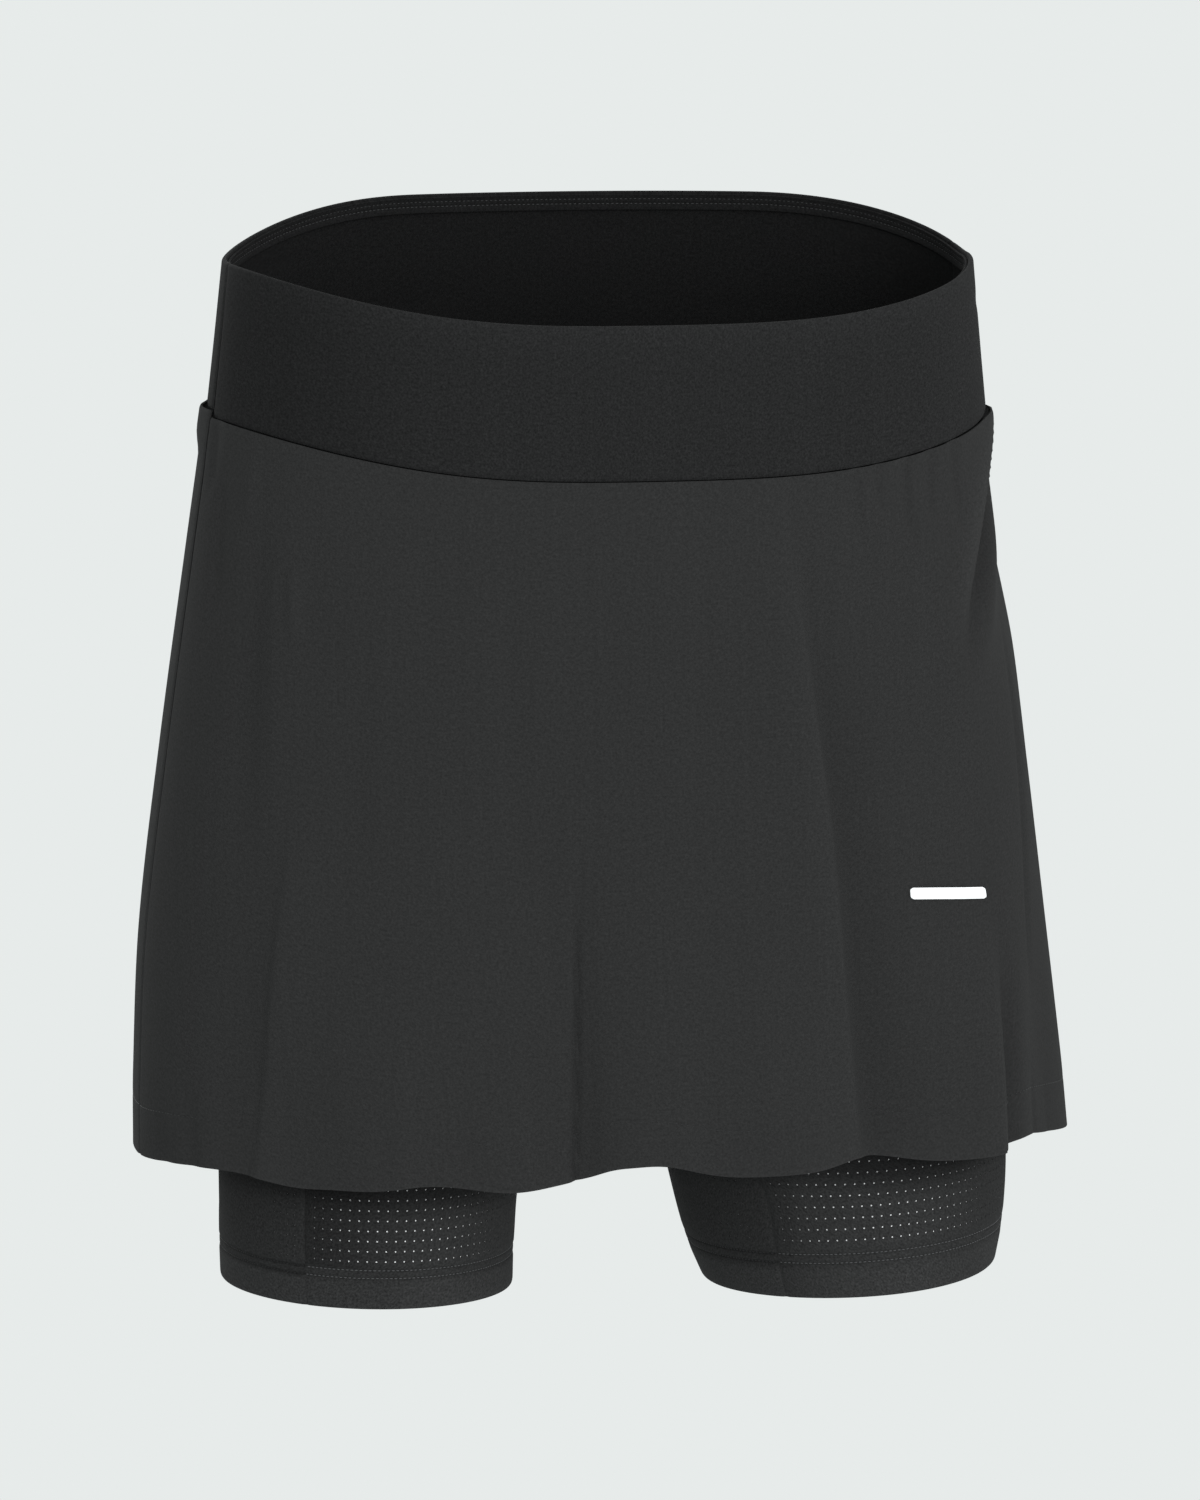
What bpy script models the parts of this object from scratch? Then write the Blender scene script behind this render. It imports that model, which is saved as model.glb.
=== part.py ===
"""A cycling skort, open and filled out as when it is worn.

A wide double waistband carries an A-line skirt and, inside it, a pair of short
fitted legs. Units are metres, +Z is up, the front faces -Y and the wearer's
right is at -X. The origin is the middle of the waist opening, level with the
band's top edge at the sides.
"""

import math

import bpy

MM = 0.001

# Cloth
WAISTBAND_WALL = 2.4 * MM
STRIP_WALL = 1.0 * MM
SKIRT_WALL = 1.0 * MM
SKIRT_HEM_WALL = 2.0 * MM
SHORTS_WALL = 1.0 * MM
SHORTS_HEM_WALL = 1.8 * MM
SEAM_GAP = 0.3 * MM

# Heights, measured at the side seams
FRONT_BAND_HEIGHT = 63 * MM
BACK_BAND_HEIGHT = 60 * MM
SKIRT_HEM_Z = -367 * MM
CROTCH_Z = -290 * MM
LEG_HEM_Z = -423.5 * MM
SKIRT_HEM_DEPTH = 20 * MM
LEG_HEM_DEPTH = 18 * MM
STRIP_HEIGHT = 7 * MM
STRIP_BELOW_EDGE = 1.2 * MM
HEM_STEP = 1.5 * MM  # over this height the skirt's wall thickens into its hem

# The waist dips at the front, and rises at the back to a wide level stretch
FRONT_DIP, FRONT_DIP_POWER = 19.8 * MM, 1.7
BACK_RISE, BACK_RISE_POWER = 19.3 * MM, 1.7
BACK_LEVEL_FROM = 0.81
WAIST_TURN = 4.4  # degrees by which the lowest and highest points lie to the left
WAIST_TURN_SPEED = 6.0  # how soon past the sides that turn is complete
SIDE_SEAMS = -87, 97  # degrees from the front centre, right and left

# A plain reflective bar on the left front of the skirt
BAR_LENGTH = 36 * MM
BAR_HEIGHT = 5 * MM
BAR_WALL = 0.6 * MM
BAR_ANGLE = 56.0
BAR_DOWN = 0.62
BAR_LEVELLING = 0.0105  # how much lower its left end lies on the cloth, to stand level
BAR_SLANT = 0.93  # how squarely the cloth faces away from the middle there

# Mesh density
BAR_COLUMNS = 10
BAND_COLUMNS, BAND_ROWS = 36, 4
STRIP_COLUMNS, STRIP_ROWS = 72, 1
SKIRT_COLUMNS, SKIRT_ROWS = 42, 12
SHORTS_COLUMNS = 14
NEAR_SEAM = 0.25  # share of a column's width at which an extra one runs beside each seam

# Sections of the waistband, from its top edge (0) to the waist seam (1), in mm
BAND_SECTIONS = (
    dict(down=0.00, aside=0.8, width=156.5, front=105.8, back=109.0, square=2.08),
    dict(down=0.50, aside=0.6, width=159.5, front=106.4, back=110.0, square=2.07),
    dict(down=1.00, aside=0.4, width=162.7, front=107.0, back=111.0, square=2.05),
)

# Sections of the skirt, from the waist seam (0) to the hem (1), in mm
SKIRT_SECTIONS = (
    dict(down=0.00, aside=0.4, width=163.7, front=108.0, back=112.0, square=2.05),
    dict(down=0.06, aside=-0.8, width=165.0, front=109.5, back=113.5, square=2.06),
    dict(down=0.20, aside=-1.5, width=170.3, front=113.5, back=118.0, square=2.10),
    dict(down=0.45, aside=-1.5, width=181.0, front=117.0, back=123.0, square=2.12),
    dict(down=0.70, aside=-1.2, width=190.5, front=121.0, back=126.0, square=2.15),
    dict(down=0.90, aside=1.0, width=195.5, front=124.0, back=129.0, square=2.15),
    dict(down=1.00, aside=2.3, width=197.0, front=125.0, back=130.0, square=2.15),
)

# Folds of the skirt. A fold runs from one angle at the waist to another at the
# hem, in degrees from the front centre. Shares of the way down say where it
# begins, is fullest and has settled to what is left of it. Ridges are positive,
# and drop lowers the hem there.
SKIRT_FOLDS = (
    dict(waist=-87, hem=-87, spread=8, begins=0.80, fullest=1.0, settles=1.0, left=1.0, depth=0, drop=2),
    dict(waist=-66, hem=-62, spread=8, begins=0.45, fullest=1.0, settles=1.0, left=1.0, depth=-5, drop=0),
    dict(waist=-44, hem=-44, spread=11, begins=0.40, fullest=1.0, settles=1.0, left=1.0, depth=5, drop=4),
    dict(waist=-28, hem=-25, spread=8, begins=0.50, fullest=1.0, settles=1.0, left=1.0, depth=2, drop=3),
    dict(waist=-14, hem=-15, spread=7, begins=0.45, fullest=1.0, settles=1.0, left=1.0, depth=-8, drop=0),
    dict(waist=0, hem=0, spread=10, begins=0.45, fullest=1.0, settles=1.0, left=1.0, depth=1, drop=-6.5),
    dict(waist=14, hem=24, spread=9, begins=0.40, fullest=1.0, settles=1.0, left=1.0, depth=4, drop=-1),
    dict(waist=33, hem=40, spread=8, begins=0.45, fullest=1.0, settles=1.0, left=1.0, depth=-7, drop=-5),
    dict(waist=84, hem=28, spread=6, begins=0.01, fullest=0.20, settles=0.42, left=0.0, depth=4, drop=0),
    dict(waist=96, hem=40, spread=8, begins=0.02, fullest=0.14, settles=0.50, left=0.0, depth=-4, drop=0),
    dict(waist=76, hem=63, spread=7, begins=0.45, fullest=0.95, settles=1.0, left=1.0, depth=5, drop=0),
    dict(waist=84, hem=70, spread=8, begins=0.45, fullest=0.95, settles=1.0, left=1.0, depth=-5, drop=-6.3),
    dict(waist=125, hem=122, spread=10, begins=0.30, fullest=1.0, settles=1.0, left=1.0, depth=-7, drop=-2),
    dict(waist=152, hem=150, spread=12, begins=0.35, fullest=1.0, settles=1.0, left=1.0, depth=7, drop=2),
    dict(waist=180, hem=178, spread=9, begins=0.40, fullest=1.0, settles=1.0, left=1.0, depth=-7, drop=-2),
    dict(waist=208, hem=211, spread=12, begins=0.35, fullest=1.0, settles=1.0, left=1.0, depth=7, drop=2),
    dict(waist=238, hem=240, spread=10, begins=0.40, fullest=1.0, settles=1.0, left=1.0, depth=-6, drop=-2),
)

# Sections of the shorts' body above the fork, by height below the waist, in mm
BODY_SECTIONS = (
    dict(z=-66, width=160.5, front=104.5, back=108.5, square=2.04),
    dict(z=-120, width=158.5, front=106.0, back=109.5, square=2.10),
    dict(z=-200, width=162.5, front=106.0, back=113.5, square=2.15),
    dict(z=-290, width=162.5, front=100.0, back=110.0, square=2.15),
)

# Sections of each leg, by height, in mm: how far out and ahead its middle is,
# and half its width and depth. The left leg is held a little wider. Above the
# fork they only shape how the body divides.
LEG_SECTIONS = {
    "right": (
        dict(z=-200, out=66.0, ahead=0.0, width=98.0, depth=104.0),
        dict(z=-260, out=78.0, ahead=-2.0, width=87.0, depth=102.0),
        dict(z=-290, out=82.5, ahead=-1.0, width=82.0, depth=98.0),
        dict(z=-330, out=90.5, ahead=3.0, width=71.0, depth=90.0),
        dict(z=-377, out=97.5, ahead=7.0, width=62.5, depth=82.0),
        dict(z=-406, out=99.2, ahead=9.0, width=61.0, depth=78.5),
        dict(z=-423.5, out=99.4, ahead=10.0, width=60.5, depth=76.0),
    ),
    "left": (
        dict(z=-200, out=66.0, ahead=0.0, width=98.0, depth=104.0),
        dict(z=-260, out=78.0, ahead=-2.0, width=87.0, depth=102.0),
        dict(z=-290, out=82.5, ahead=-1.0, width=82.0, depth=98.0),
        dict(z=-330, out=93.5, ahead=3.0, width=76.0, depth=90.0),
        dict(z=-377, out=100.4, ahead=7.0, width=71.0, depth=83.0),
        dict(z=-406, out=103.4, ahead=9.0, width=66.3, depth=79.0),
        dict(z=-423.5, out=105.4, ahead=10.0, width=61.0, depth=76.0),
    ),
}

# Rows of the shorts by height, in mm, close together where the body divides
BODY_ROWS = (-66, -95, -125, -155, -185, -212, -236, -255, -269, -279, -285, -288.5)
LEG_ROWS = (-290.5, -297, -309, -327, -348, -370, -388, -404, -405.5, -414, -423.5)

# Where each leg's seams lie around it at the hem, in degrees from its front
# towards its outer side. The legs sit turned, so one seam shows on each.
# The hem is lifted all round, and tilted up towards the outer side, in mm.
LEGS = {
    "right": dict(side=-1, outer_seam=29, inner_seam=-151, lift=0.0, tilt=1.0),
    "left": dict(side=1, outer_seam=147, inner_seam=-33, lift=-1.0, tilt=4.7),
}
SEAM_TURN_STARTS, SEAM_TURN_ENDS = -150 * MM, -385 * MM
SHORTS_LEVEL_Z = -230 * MM  # from here up, the rows follow the waist

# Colours, roughness
CLOTH_LOOKS = {
    "waistband_knit": ((0.020, 0.020, 0.021), 0.80),
    "skirt_woven": ((0.030, 0.030, 0.031), 0.72),
    "shorts_knit": ((0.022, 0.022, 0.023), 0.75),
    "reflective_film": ((0.72, 0.73, 0.74), 0.35),
}


def smooth_step(value, start, end):
    """0 before start, 1 after end, with a soft change between them."""
    t = min(1.0, max(0.0, (value - start) / (end - start)))
    return t * t * (3 - 2 * t)


def look_up(rows, key, at, name):
    """A named column of a table at any place along its key, on a smooth curve."""
    rows = sorted(rows, key=lambda row: row[key])
    at = min(max(at, rows[0][key]), rows[-1][key])
    i = max(j for j in range(len(rows) - 1) if rows[j][key] <= at)
    low, high = rows[i], rows[i + 1]
    span = high[key] - low[key]

    def slope(j):
        before, after = rows[max(j - 1, 0)], rows[min(j + 1, len(rows) - 1)]
        return (after[name] - before[name]) / (after[key] - before[key])

    t = (at - low[key]) / span
    return (
        (2 * t**3 - 3 * t**2 + 1) * low[name]
        + (t**3 - 2 * t**2 + t) * span * slope(i)
        + (3 * t**2 - 2 * t**3) * high[name]
        + (t**3 - t**2) * span * slope(i + 1)
    )


def section_at(rows, key, at):
    """All columns of a table at one place, lengths turned into metres."""
    names = [name for name in rows[0] if name != key]
    found = {name: look_up(rows, key, at, name) for name in names}
    return {n: v if n == "square" else v * MM for n, v in found.items()}


def ring_radius(section, angle):
    """Distance from the middle to a rounded oval, at an angle from the front."""
    across, along = abs(math.sin(angle)), abs(math.cos(angle))
    reach = section["front"] if math.cos(angle) > 0 else section["back"]
    power = section["square"]
    return ((across / section["width"]) ** power + (along / reach) ** power) ** (-1 / power)


def waist_rise(angle):
    """Height of the waist's lines round the body: down in front, up behind."""
    turned = angle - math.radians(WAIST_TURN) * math.tanh(WAIST_TURN_SPEED * math.cos(angle))
    ahead = math.cos(turned)
    if ahead > 0:
        return -FRONT_DIP * math.sin(math.pi / 2 * ahead) ** FRONT_DIP_POWER
    towards_level = min(1, -ahead / BACK_LEVEL_FROM)
    return BACK_RISE * math.sin(math.pi / 2 * towards_level) ** BACK_RISE_POWER


def is_front(angle):
    """Whether an angle lies on the front panels, between the side seams."""
    degrees = (math.degrees(angle) + 180) % 360 - 180
    return SIDE_SEAMS[0] < degrees < SIDE_SEAMS[1]


def fold_share(fold, down):
    """How full a fold is at this share of the way down the skirt."""
    if down <= fold["fullest"]:
        return smooth_step(down, fold["begins"], fold["fullest"])
    return 1 - (1 - fold["left"]) * smooth_step(down, fold["fullest"], fold["settles"])


def fold_sum(angle, down, column):
    """Everything that the folds add to one of their columns at this place."""
    total = 0.0
    for fold in SKIRT_FOLDS:
        middle = fold["waist"] + (fold["hem"] - fold["waist"]) * down
        away = (math.degrees(angle) - middle + 180) % 360 - 180
        total += fold[column] * MM * fold_share(fold, down) * math.exp(-((away / fold["spread"]) ** 2))
    return total


def tube_point(section, angle, z, fold=0.0):
    radius = ring_radius(section, angle) + fold
    return (section["aside"] + radius * math.sin(angle), -radius * math.cos(angle), z)


def band_height(angle):
    return FRONT_BAND_HEIGHT if is_front(angle) else BACK_BAND_HEIGHT


def band_point(angle, down):
    z = waist_rise(angle) - (band_height(angle) - SEAM_GAP / 2) * down
    return tube_point(section_at(BAND_SECTIONS, "down", down), angle, z)


def strip_point(angle, down):
    """The strip lies against the inside of the band, under its top edge."""
    x, y, z = band_point(angle, 0.0)
    lower = STRIP_BELOW_EDGE + STRIP_HEIGHT * down
    inward = 1 - (WAISTBAND_WALL + SEAM_GAP) / math.hypot(x, y)
    return (x * inward, y * inward, z - lower)


def skirt_point(angle, down):
    section = section_at(SKIRT_SECTIONS, "down", down)
    top = waist_rise(angle) - band_height(angle) - SEAM_GAP / 2
    hem = SKIRT_HEM_Z - fold_sum(angle, 1.0, "drop")
    return tube_point(section, angle, top + (hem - top) * down, fold_sum(angle, down, "depth"))


def shorts_depth(side, out, ahead, z):
    """Under 1 inside the shorts at this height, over 1 outside them.

    The body is one oval and each leg another. The body's share fades away
    towards the fork, so the shorts divide in a smooth curve.
    """
    legness = smooth_step(z, -185 * MM, CROTCH_Z)
    leg = section_at(LEG_SECTIONS[side], "z", z / MM)
    in_leg = math.hypot((out - leg["out"]) / leg["width"], (ahead - leg["ahead"]) / leg["depth"])
    if legness >= 1:
        return in_leg
    body = section_at(BODY_SECTIONS, "z", z / MM)
    angle = math.atan2(out, ahead)
    in_body = math.hypot(out, ahead) / ring_radius(body, angle)
    return (1 - legness) * in_body + legness * in_leg


def halve(inside, outside, test, steps=24):
    """The value between two where a test stops being true."""
    for _ in range(steps):
        middle = (inside + outside) / 2
        if test(middle):
            inside = middle
        else:
            outside = middle
    return (inside + outside) / 2


def shorts_reach(side, angle, z):
    """A point of the shorts' outline, seen from a leg's middle: (out, ahead)."""
    leg = section_at(LEG_SECTIONS[side], "z", z / MM)
    across, along = math.sin(angle), math.cos(angle)

    def inside(distance):
        return shorts_depth(side, leg["out"] + distance * across, leg["ahead"] + distance * along, z) < 1

    distance = halve(0.0, 0.3, inside)
    return leg["out"] + distance * across, leg["ahead"] + distance * along


def centre_angle(side, z, behind):
    """The angle, from a leg's middle, at which the outline meets the centre seam."""
    front_or_back, inner = (math.pi, 1.5 * math.pi) if behind else (0.0, -0.5 * math.pi)
    return halve(front_or_back, inner, lambda a: shorts_reach(side, a, z)[0] > 0)


def seam_to_seam(first, last, gap, count):
    """Angles across a panel, clear of both seams, with an extra one close to each."""
    first, last = first + gap, last - gap
    step = (last - first) / count
    near = step * NEAR_SEAM
    return [first, first + near] + [first + step * i for i in range(1, count)] + [last - near, last]


def leg_seam_angle(leg, which, z):
    """Angle of a leg's outer or inner seam: square to the body high up, turned at the hem."""
    square_on = math.radians(90 if which == "outer_seam" else -90)
    starts = SEAM_TURN_STARTS if which == "outer_seam" else CROTCH_Z
    turn = smooth_step(-z, -starts, -SEAM_TURN_ENDS)
    return square_on + (math.radians(leg[which]) - square_on) * turn


def shorts_row(side, panel, z):
    """The points of one row of a shorts panel, between its two seams."""
    leg = LEGS[side]
    outer = leg_seam_angle(leg, "outer_seam", z)
    if z > CROTCH_Z:
        start, end = centre_angle(side, z, False), centre_angle(side, z, True)
    else:
        start = leg_seam_angle(leg, "inner_seam", z)
        end = start + 2 * math.pi
    gap = SEAM_GAP / 2 / section_at(LEG_SECTIONS[side], "z", z / MM)["width"]
    first, last = (start, outer) if panel == "front" else (outer, end)
    points = []
    for angle in seam_to_seam(first, last, gap, SHORTS_COLUMNS):
        out, ahead = shorts_reach(side, angle, z)
        round_body = math.atan2(out, ahead)
        top_share = smooth_step(z, SHORTS_LEVEL_Z, BODY_ROWS[0] * MM)
        hem_share = smooth_step(-z, -CROTCH_Z, -LEG_HEM_Z)
        rise = waist_rise(leg["side"] * round_body) * top_share
        rise += (leg["lift"] + leg["tilt"] * math.sin(angle)) * MM * hem_share
        points.append((leg["side"] * out, -ahead, z + rise))
    return points


def grid_faces(columns, rows, closed=False):
    """Quads between the points of a grid, row after row, facing outwards."""
    wide = columns if closed else columns + 1
    return [
        (r * wide + c, (r + 1) * wide + c, (r + 1) * wide + (c + 1) % wide, r * wide + (c + 1) % wide)
        for r in range(rows)
        for c in range(columns)
    ]


def cloth_material(name):
    colour, roughness = CLOTH_LOOKS[name]
    material = bpy.data.materials.get(name) or bpy.data.materials.new(name)
    material.use_nodes = True
    shader = material.node_tree.nodes["Principled BSDF"]
    shader.inputs["Base Color"].default_value = (*colour, 1)
    shader.inputs["Roughness"].default_value = roughness
    shader.inputs["Metallic"].default_value = 0
    return material


def sew(name, points, faces, wall, cloth, hem_wall=None, hem_points=()):
    """One piece of cloth: an open surface, given its wall inwards by Solidify.

    A hem is the cloth turned up on the inside, so its points take the full
    wall and the rest a share of it.
    """
    mesh = bpy.data.meshes.new(name)
    mesh.from_pydata(points, [], faces)
    mesh.validate()
    piece = bpy.data.objects.new(name, mesh)
    garment.objects.link(piece)
    mesh.materials.append(cloth_material(cloth))
    shell = piece.modifiers.new("wall", "SOLIDIFY")
    shell.thickness = hem_wall or wall
    shell.offset = -1
    shell.use_even_offset = True
    if hem_wall:
        turned_up = piece.vertex_groups.new(name="turned_up_hem")
        turned_up.add(list(hem_points), 1.0, "REPLACE")
        shell.vertex_group = turned_up.name
        shell.thickness_vertex_group = wall / hem_wall
    mesh.shade_smooth()
    return piece


def tube_panel(name, point, first, last, columns, downs, wall, cloth, hem_wall=None, hem_rows=0):
    """A panel of a tube from one side seam to the other, between two angles.

    The last hem_rows rows of points are those of the turned-up hem.
    """
    x, y, _ = point(first, 0.5)
    gap = SEAM_GAP / 2 / math.hypot(x, y)
    angles = seam_to_seam(first, last, gap, columns)
    points = [point(angle, down) for down in downs for angle in angles]
    faces = grid_faces(len(angles) - 1, len(downs) - 1)
    hem_points = range(len(points) - len(angles) * hem_rows, len(points))
    return sew(name, points, faces, wall, cloth, hem_wall, hem_points)


def side_to_side(name):
    """The front and back panel of a tube, each between two side seams."""
    right, left = (math.radians(seam) for seam in SIDE_SEAMS)
    return (f"{name}_front", right, left), (f"{name}_back", left, right + 2 * math.pi)


def evenly(count):
    return [i / count for i in range(count + 1)]


def build_waistband():
    downs = evenly(BAND_ROWS)
    for name, first, last in side_to_side("waistband"):
        tube_panel(name, band_point, first, last, BAND_COLUMNS, downs, WAISTBAND_WALL, "waistband_knit")
    points = [
        strip_point(2 * math.pi * column / STRIP_COLUMNS, down)
        for down in evenly(STRIP_ROWS)
        for column in range(STRIP_COLUMNS)
    ]
    faces = grid_faces(STRIP_COLUMNS, STRIP_ROWS, closed=True)
    sew("waist_edge_strip", points, faces, STRIP_WALL, "waistband_knit")


def build_skirt():
    length = -FRONT_BAND_HEIGHT - SKIRT_HEM_Z
    hem_top = 1 - SKIRT_HEM_DEPTH / length
    above_hem = hem_top - HEM_STEP / length
    hem_downs = [hem_top, (1 + hem_top) / 2, 1.0]
    downs = [down * above_hem for down in evenly(SKIRT_ROWS)] + hem_downs
    for name, first, last in side_to_side("skirt"):
        panel = name, skirt_point, first, last, SKIRT_COLUMNS, downs
        tube_panel(*panel, SKIRT_WALL, "skirt_woven", SKIRT_HEM_WALL, len(hem_downs))


def build_bar():
    """The bar follows the cloth it lies on: the skirt's points, moved out."""
    base = skirt_point(math.radians(BAR_ANGLE), BAR_DOWN)
    half_turn = BAR_LENGTH / 2 / math.hypot(base[0], base[1])
    half_drop = BAR_HEIGHT / 2 / (base[2] - skirt_point(math.radians(BAR_ANGLE), 1.0)[2]) * (1 - BAR_DOWN)
    points = []
    for edge in (BAR_DOWN - half_drop, BAR_DOWN + half_drop):
        for share in evenly(BAR_COLUMNS):
            along = 2 * share - 1
            down = edge + BAR_LEVELLING * along
            x, y, z = skirt_point(math.radians(BAR_ANGLE) + half_turn * along, down)
            outward = 1 + (SEAM_GAP + BAR_WALL) / math.hypot(x, y) / BAR_SLANT
            points.append((x * outward, y * outward, z))
    sew("reflective_bar", points, grid_faces(BAR_COLUMNS, 1), BAR_WALL, "reflective_film")


def build_shorts():
    heights = [z * MM for z in BODY_ROWS + LEG_ROWS]
    hem_rows = sum(z <= LEG_HEM_Z + LEG_HEM_DEPTH for z in heights)
    for side, leg in LEGS.items():
        for panel in ("front", "back"):
            rows = [shorts_row(side, panel, z) for z in heights]
            points = [point for row in rows for point in row]
            faces = grid_faces(len(rows[0]) - 1, len(rows) - 1)
            if leg["side"] < 0:
                faces = [face[::-1] for face in faces]
            hem_points = range(len(points) - len(rows[0]) * hem_rows, len(points))
            name = f"shorts_{side}_{panel}"
            sew(name, points, faces, SHORTS_WALL, "shorts_knit", SHORTS_HEM_WALL, hem_points)


for old in list(bpy.data.objects):
    bpy.data.objects.remove(old)
garment = bpy.data.collections.new("cycling_skort")
bpy.context.scene.collection.children.link(garment)
build_waistband()
build_skirt()
build_shorts()
build_bar()
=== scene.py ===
"""The looks of a cycling skort, open and filled out as when it is worn.

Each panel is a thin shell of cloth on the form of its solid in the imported
frame, with the finer creases, seams, hems, stitches and perforations of the
real one. Units are metres, +Z is up, the front faces -Y and the wearer's right
is at -X.
"""

import math

import bpy
import numpy as np
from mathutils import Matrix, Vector


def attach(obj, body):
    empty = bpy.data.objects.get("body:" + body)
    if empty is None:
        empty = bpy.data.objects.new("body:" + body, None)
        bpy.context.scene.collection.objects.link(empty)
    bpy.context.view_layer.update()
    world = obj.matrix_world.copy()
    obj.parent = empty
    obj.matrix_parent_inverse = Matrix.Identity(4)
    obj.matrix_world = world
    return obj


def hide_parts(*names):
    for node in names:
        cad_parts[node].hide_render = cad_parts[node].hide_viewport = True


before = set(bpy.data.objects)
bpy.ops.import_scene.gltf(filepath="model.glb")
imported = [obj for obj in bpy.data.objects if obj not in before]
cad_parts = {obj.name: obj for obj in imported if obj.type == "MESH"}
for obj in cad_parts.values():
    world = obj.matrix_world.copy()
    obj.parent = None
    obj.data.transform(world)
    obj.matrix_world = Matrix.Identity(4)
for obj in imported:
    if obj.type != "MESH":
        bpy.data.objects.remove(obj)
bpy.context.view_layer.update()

MM = 0.001


def table(columns, *rows):
    """A table with named columns. A short row leaves out the last of them."""
    return [dict(zip(columns.split(), row)) for row in rows]


# Cloth. A hem is the cloth turned up inside, so its wall is thicker.
BAND_WALL = 2.4 * MM
STRIP_WALL = 1.0 * MM
SKIRT_WALL, SKIRT_HEM_WALL = 0.8 * MM, 1.8 * MM
SHORTS_WALL, SHORTS_HEM_WALL = 0.8 * MM, 1.6 * MM
SEAM_GAP = 0.3 * MM

# Heights, measured at the side seams
BAND_HEIGHTS = {"front": 63 * MM, "back": 60 * MM}
SKIRT_HEM_Z = -367 * MM
CROTCH_Z = -290 * MM
LEG_BLEND_Z = -185 * MM
LEG_HEM_Z = -423.5 * MM
SHORTS_TOP_Z = -66 * MM
SHORTS_LEVEL_Z = -230 * MM
SKIRT_LENGTH = 300 * MM
SKIRT_HEM_DEPTH = 20 * MM
LEG_HEM_DEPTH = 18 * MM
STRIP_BELOW_EDGE = 1.2 * MM
STRIP_HEIGHT = 7 * MM

# The waist dips at the front, and rises at the back to a wide level stretch
FRONT_DIP, FRONT_DIP_POWER = 19.8 * MM, 1.7
BACK_RISE, BACK_RISE_POWER = 19.3 * MM, 1.7
BACK_LEVEL_FROM = 0.81
WAIST_TURN = 4.4
WAIST_TURN_SPEED = 6.0
SIDE_SEAMS = {"right": -87, "left": 97}  # degrees from the front centre

# The look of the cloth: sizes of its specks and tufts, and how much its tone wanders
FIBRE_SIZE, TUFT_SIZE, MOTTLE = 0.95 * MM, 2.0 * MM, 0.02
CLOUD_SCALE, STREAK_SCALE = 18.0, (260, 9, 1)
CLOTHS = table(
    "name colour thread grain tufts streaks",
    ("waistband_knit", (0.0156, 0.0157, 0.0160), 0.5 * MM, 0.34, 0.16, 0.03),
    ("skirt_woven", (0.0231, 0.0232, 0.0234), 0.4 * MM, 0.20, 0.10, 0.02),
    ("shorts_knit", (0.0228, 0.0229, 0.0232), 0.45 * MM, 0.42, 0.15, 0.03),
)
# the pale coins in the perforations are painted light, standing in for light that shows through
THREAD_COLOUR, PAINTED_LIGHT_COIN_COLOUR = (0.055, 0.056, 0.058), (0.90, 0.91, 0.92)

# Where cloth is sewn to cloth it dips into the seam: how deep, and how far around
SIDE_SEAM_DIP = 0.4 * MM, 1.2 * MM
WAIST_SEAM_DIP = 0.35 * MM, 0.8 * MM
STITCH_DIP = 0.5 * MM, 0.8 * MM
SKIRT_STITCH_DIP = 0.15 * MM, 0.9 * MM
SIDE_GAP = 0.08 * MM  # between two panels drawn together by a side seam
FORK_CLOSED = 3 * MM  # how far below the fork the two legs' panels still meet
BESIDE_SEAM = (0.0, 0.4, 0.9, 1.5, 2.2, 3.2, 5.0)  # rows and columns there, in mm

# Typical distance of the cloth from the middle, which turns lengths into angles
BAND_RADIUS, SKIRT_RADIUS, LEG_RADIUS = 135 * MM, 160 * MM, 72 * MM

# Rows of stitches: how far from the edge, and how far apart
STRIP_ROWS = 3.3 * MM, 5.3 * MM
STRIP_PITCH = 2.0 * MM
LEG_ROWS = {"right": (16.3 * MM, 13.0 * MM), "left": (18.7 * MM, 15.0 * MM)}
LEG_PITCH = 1.9 * MM
SKIRT_PITCH = 2.5 * MM
STITCH_WIDTH, STITCH_HEIGHT = 0.45 * MM, 0.32 * MM
STITCH_FILLED = 0.68  # share of the pitch that the thread lies on the cloth

# Perforations of the leg panels: round, in rows along the hem
HOLE_RADIUS = 0.37 * MM
HOLE_ACROSS = 3.85 * MM
HOLE_ROW_PITCH = {"right": 4.25 * MM, "left": 4.65 * MM}
HOLES_ABOVE_HEM = {"right": 17.9 * MM, "left": 22.2 * MM}
HOLES_UP_TO_Z = -300 * MM
PERFORATED_FROM_Z = -400 * MM  # where the columns are spaced out
# a pale coin under each hole, painted light standing in for the light shining through
LIGHT_COIN_DEPTH, LIGHT_COIN_THICKNESS, LIGHT_COIN_RADIUS = 0.45 * MM, 0.2 * MM, HOLE_RADIUS * 1.15
NEAR_SEAM = np.array([0.0, 0.5, 1.1, 1.9, 3.0, 4.4])  # columns between a seam and them, in mm
# Where they begin and end across each panel: mm from its first seam, or back from its last
PERFORATED = {
    "right": {"front": (7.0, -3.0), "back": (3.0, 18.4)},
    "left": {"front": (3.0, -3.0), "back": (-30.0, -10.6)},
}

# How close together the rows and columns of points are, away from seams
BAND_ROW, BAND_COLUMN = 2.0 * MM, 2.4 * MM
SKIRT_ROW, SKIRT_COLUMNS = 2.9 * MM, {"front": 1.4 * MM, "back": 1.9 * MM}
LEG_COLUMN, ROWS_ABOVE_FORK = 3.4 * MM, 45
NARROW_STRIP = 6 * MM  # plain cloth beside a leg's seam, no wider than this, has NEAR_SEAM
BAND_FOLD_POINTS, HOLE_CORNERS = 11, 8
ROW_GAP, COLUMN_GAP = 0.3 * MM, 0.5 * MM  # least room beside the perforated rows and columns
NEARLY = 1e-9  # what rounding may take from a length

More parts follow.
